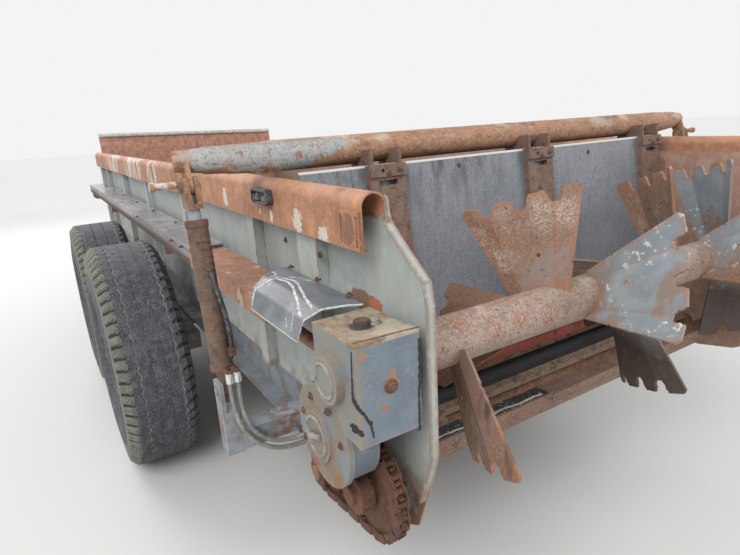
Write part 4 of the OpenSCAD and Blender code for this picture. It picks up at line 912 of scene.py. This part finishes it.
# Bolts that the photograph shows: axis and value of their plane, head's radius, turn or None, and pixels
SEEN_BOLTS = [
    (1, Y_OUT, 0.006, 0.3, [(286, 240)]),
    (1, RIB_Y, 0.006, 0.3, [(320, 255)]),
    (2, 1.2290, 0.0062, 0.3, [(291, 267), (318, 279), (349, 295)]),
    (2, SHIELD_TOP, 0.0065, 0.3, [(137, 217), (171, 241), (181, 247)]),
    (1, 1.056, 0.0065, None, [(311, 396), (304, 410), (306, 436), (341, 446)]),
    (1, 1.064, 0.0065, None, [(327, 412)]),
    (0, CASE_X, 0.0105, 0.5, [(391, 386)]),
]


def bolt_circle(form, place, side, reach, size, count, turn):
    """Bolts round a place on a face that looks out to one side."""
    x, y, z = place
    for k in range(count):
        a = turn + 2 * math.pi * k / count
        form.bolt((x + reach * math.cos(a), side * y, z + reach * math.sin(a)), (0, side, 0), size)


def wheel_nuts(name, side, r, x):
    form = Form()
    bolt_circle(form, (x, HUB_Y + 0.0145, r), side, 0.105, 0.0125, 8, math.pi / 8)
    form.lathe((x, side * (HUB_Y + 0.125), r), (0, side, 0), [(0.047, 0.0), (0.047, 0.003), (0.030, 0.008)], 20)
    form.done("wheel_%s_nuts" % name, ["fastener"], "wheel_" + name)


for name, side, r, x, _ in WHEELS:
    wheel_nuts(name, side, r, x)


def chassis_fasteners():
    form = Form()
    for axis, value, size, turn, pixels in SEEN_BOLTS:
        for px, py in pixels:
            form.bolt(seen(px, py, axis, value), OUTWARD[axis], size, 0.1 + px if turn is None else turn)
    for k in range(7):
        form.bolt((at(1.25 + 0.55 * k), RIB_Y + 0.030, SHIELD_TOP), Z, 0.006)
    form.lathe((at(-0.055), 0.985, 1.230), Z, [(0.0150, -0.001), (0.0150, 0.002), (0.0120, 0.003)], 20)
    for x, z, side in ((at(0.262), 0.704, 1), (at(0.262), 0.704, -1), (BEATER_X, 1.090, -1)):
        bolt_circle(form, (x, PLATE_Y + 0.0125, z), side, 0.042, 0.007, 3, 0.5)
    form.done("chassis_fasteners", ["fastener"], "chassis")


def gate_fasteners():
    form = Form()
    back = -GATE_AHEAD
    for y in (0.580, -0.090, -0.770):
        for dy, w in ((-0.040, -0.078), (0.0, -0.088)):
            form.bolt(gate_point(SHEET_U - 0.030, y + dy, w), back, 0.0065)
        for w in (-0.20, -0.42, -0.64):
            form.bolt(gate_point(SHEET_U - 0.022, y + 0.012, w), back, 0.0060)
    for px, py in ((459, 165), (588, 152)):
        way = AXES @ pixel_way(px, py)
        form.bolt(EYE + way * ((gate_point(SHEET_U, 0, 0) - EYE).dot(back) / way.dot(back)), back, 0.0055)
    form.done("gate_fasteners", ["fastener"], "gate")


chassis_fasteners()
gate_fasteners()


# ---------------- edges, cracks and seams
# Seams and cracks of the gear case: axis and value of their face, seed, pixels and widths
CASE_CRACKS = [
    (0, CASE_X, 3, [(351, 352), (352, 382), (353, 400), (358, 408), (365, 416), (371, 424), (374, 438)],
     [0.0025, 0.003, 0.006, 0.007, 0.006, 0.007, 0.003]),
    (0, CASE_X, 4, [(351, 424), (357, 431), (364, 436)], [0.010, 0.013, 0.006]),
    (0, CASE_X, 5, [(419, 338), (420, 370), (419, 400), (420, 430)], [0.005, 0.008, 0.005, 0.007]),
    (2, 1.223, 6, [(352, 344), (376, 338), (402, 331), (419, 327)], [0.004, 0.006, 0.005, 0.006]),
]


def ribbon(form, points, widths, normal, slot, seed):
    """Ragged strip lying on a flat face along a broken line, its width given at each point."""
    rng = random.Random(seed)
    normal = Vector(normal)
    lift = 0.0008
    fine, wide = [], []
    for a, b, wa, wb in zip(points, points[1:], widths, widths[1:]):
        steps = max(2, int((b - a).length / 0.004))
        for k in range(steps):
            fine.append(a.lerp(b, k / steps))
            wide.append(wa + (wb - wa) * k / steps)
    fine.append(points[-1])
    wide.append(widths[-1])
    rows = []
    for i, p in enumerate(fine):
        way = (fine[min(i + 1, len(fine) - 1)] - fine[max(i - 1, 0)]).normalized()
        out = way.cross(normal).normalized() * (wide[i] / 2)
        rows.append([p + out * rng.uniform(0.55, 1.35) + normal * lift,
                     p - out * rng.uniform(0.55, 1.35) + normal * lift])
    form.slab(rows, normal * -(lift + 0.0006), slot)


def case_trim():
    """Open seams between the gear case and its rear cover, and the raised caps and rings on the case."""
    form = Form()
    for axis, value, seed, pixels, widths in CASE_CRACKS:
        points = [seen(px, py, axis, value) for px, py in pixels]
        ribbon(form, points, widths, OUTWARD[axis], 1 if axis else 0, seed)
    form.done("case_cracks", ["notch", "fastener"], "chassis")
    caps = Form()
    caps.lathe(seen(374, 323, 2, CASE_TOP), Z, [(0.015, -0.001), (0.015, 0.004), (0.0125, 0.0052),
                                                (0.0125, 0.009), (0.0105, 0.0105)], 24)
    hub = Vector((at(0.048), 1.0645, 0.938))
    for place, r, wall in (((at(-0.045), 1.0765, 1.118), 0.040, 0.004), (hub, 0.050, 0.005)):
        caps.lathe(place, Y, [(r, -0.001), (r, 0.003), (r - wall, 0.004), (r - wall - 0.002, -0.001)], 40,
                   closed=True)
    bar = [hub + Vector(v) for v in ((-0.030, 0.004, 0.012), (0.0, 0.008, 0.004), (0.030, 0.004, -0.006))]
    caps.tube(bar, [0.006, 0.0075, 0.006], 10)
    caps.done("case_caps", ["cap"], "chassis")


def floor_edge():
    """Torn pale edge of the floor sheet on the rear beam."""
    form = Form()
    rng = random.Random(9)
    spots, wide = [], []
    y = Y_IN - 0.03
    while y > 0.19:
        spots.append(Vector((at(0.141 + 0.012 * noise.noise(Vector((y * 9, 0, 0)))), y, 0.720)))
        wide.append(0.006 + 0.004 * rng.random())
        y -= 0.022
    ribbon(form, spots, wide, Z, 0, 2)
    form.done("floor_edge", ["pale"], "chassis")


def extension_edge():
    """Rolled, dented edge along the top of the front extension."""
    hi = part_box("front_extension")[1]
    points = []
    for k in range(61):
        y = -Y_IN + 0.002 + (2 * Y_IN - 0.004) * k / 60
        dent = 0.004 * max(0.0, noise.noise(Vector((y * 2.6, 3.0, 0))))
        points.append(Vector((hi.x - 0.0100, y, hi.z - 0.0190 - 0.050 * (1 - k / 60) - dent)))
    form = Form()
    form.tube(points, [0.0175] * len(points), 14)
    form.done("extension_edge", ["pale"], "chassis", smooth=True)


case_trim()
floor_edge()
extension_edge()


# ---------------- floor and light
def stage_floor():
    """Pale floor that glows further out, for the camera alone, to meet the background."""
    mesh = bpy.data.meshes.new("studio_floor")
    half = 60.0
    mesh.from_pydata([(-half, -half, 0), (half, -half, 0), (half, half, 0), (-half, half, 0)], [], [(0, 1, 2, 3)])
    mat = bpy.data.materials.new("studio_floor")
    mat.use_nodes = True
    tree = Nodes(mat.node_tree)
    away = tree.add("VectorMath", {0: tree.add("TexCoord").outputs["Object"]}, operation="LENGTH")
    far = tree.add("MapRange", {"Value": away.outputs["Value"], "From Min": 4, "From Max": 12, "To Max": 0.42})
    camera_ray = tree.add("LightPath").outputs["Is Camera Ray"]
    glow = tree.add("Math", {0: far.outputs[0], 1: camera_ray}, operation="MULTIPLY")
    shader = mat.node_tree.nodes["Principled BSDF"]
    for name, value in (("Base Color", (0.62, 0.62, 0.61, 1)), ("Roughness", 0.9),
                        ("Emission Color", (1, 1, 1, 1)), ("Emission Strength", glow.outputs[0])):
        tree.put(value, shader.inputs[name])
    mesh.materials.append(mat)
    placed("studio_floor", mesh)


def soft_box(name, place, target, size, watts):
    data = bpy.data.lights.new(name, "AREA")
    data.shape = "SQUARE"
    data.size = size
    data.energy = watts
    lamp = placed(name, data)
    lamp.location = place
    lamp.rotation_euler = (Vector(target) - Vector(place)).to_track_quat("-Z", "Y").to_euler()


def studio():
    """Floor, three soft boxes, and a world that the camera and reflections see brighter than it lights."""
    stage_floor()
    world = bpy.data.worlds.new("studio_world")
    bpy.context.scene.world = world
    world.use_nodes = True
    tree = Nodes(world.node_tree)
    path = tree.add("LightPath").outputs
    direct = tree.add("Math", {0: path["Is Camera Ray"], 1: path["Is Glossy Ray"]}, operation="MAXIMUM")
    strength = tree.add("Mix", {0: direct.outputs[0], 2: 0.62, 3: 0.90}, data_type="FLOAT")
    back = world.node_tree.nodes["Background"]
    tree.put(strength.outputs[0], back.inputs["Strength"])
    tree.put((1, 1, 1, 1), back.inputs["Color"])
    centre = (REAR_X + 1.0, 0, 1.0)
    soft_box("key_light", (REAR_X - 3.5, 5.5, 6.5), centre, 5.0, 620)
    soft_box("fill_light", (REAR_X - 4.0, -5.0, 4.5), centre, 5.0, 260)
    soft_box("far_light", (REAR_X + 8.5, 3.0, 6.0), (0, 0, 1), 6.0, 480)


studio()
bpy.context.scene.view_settings.view_transform = "Standard"
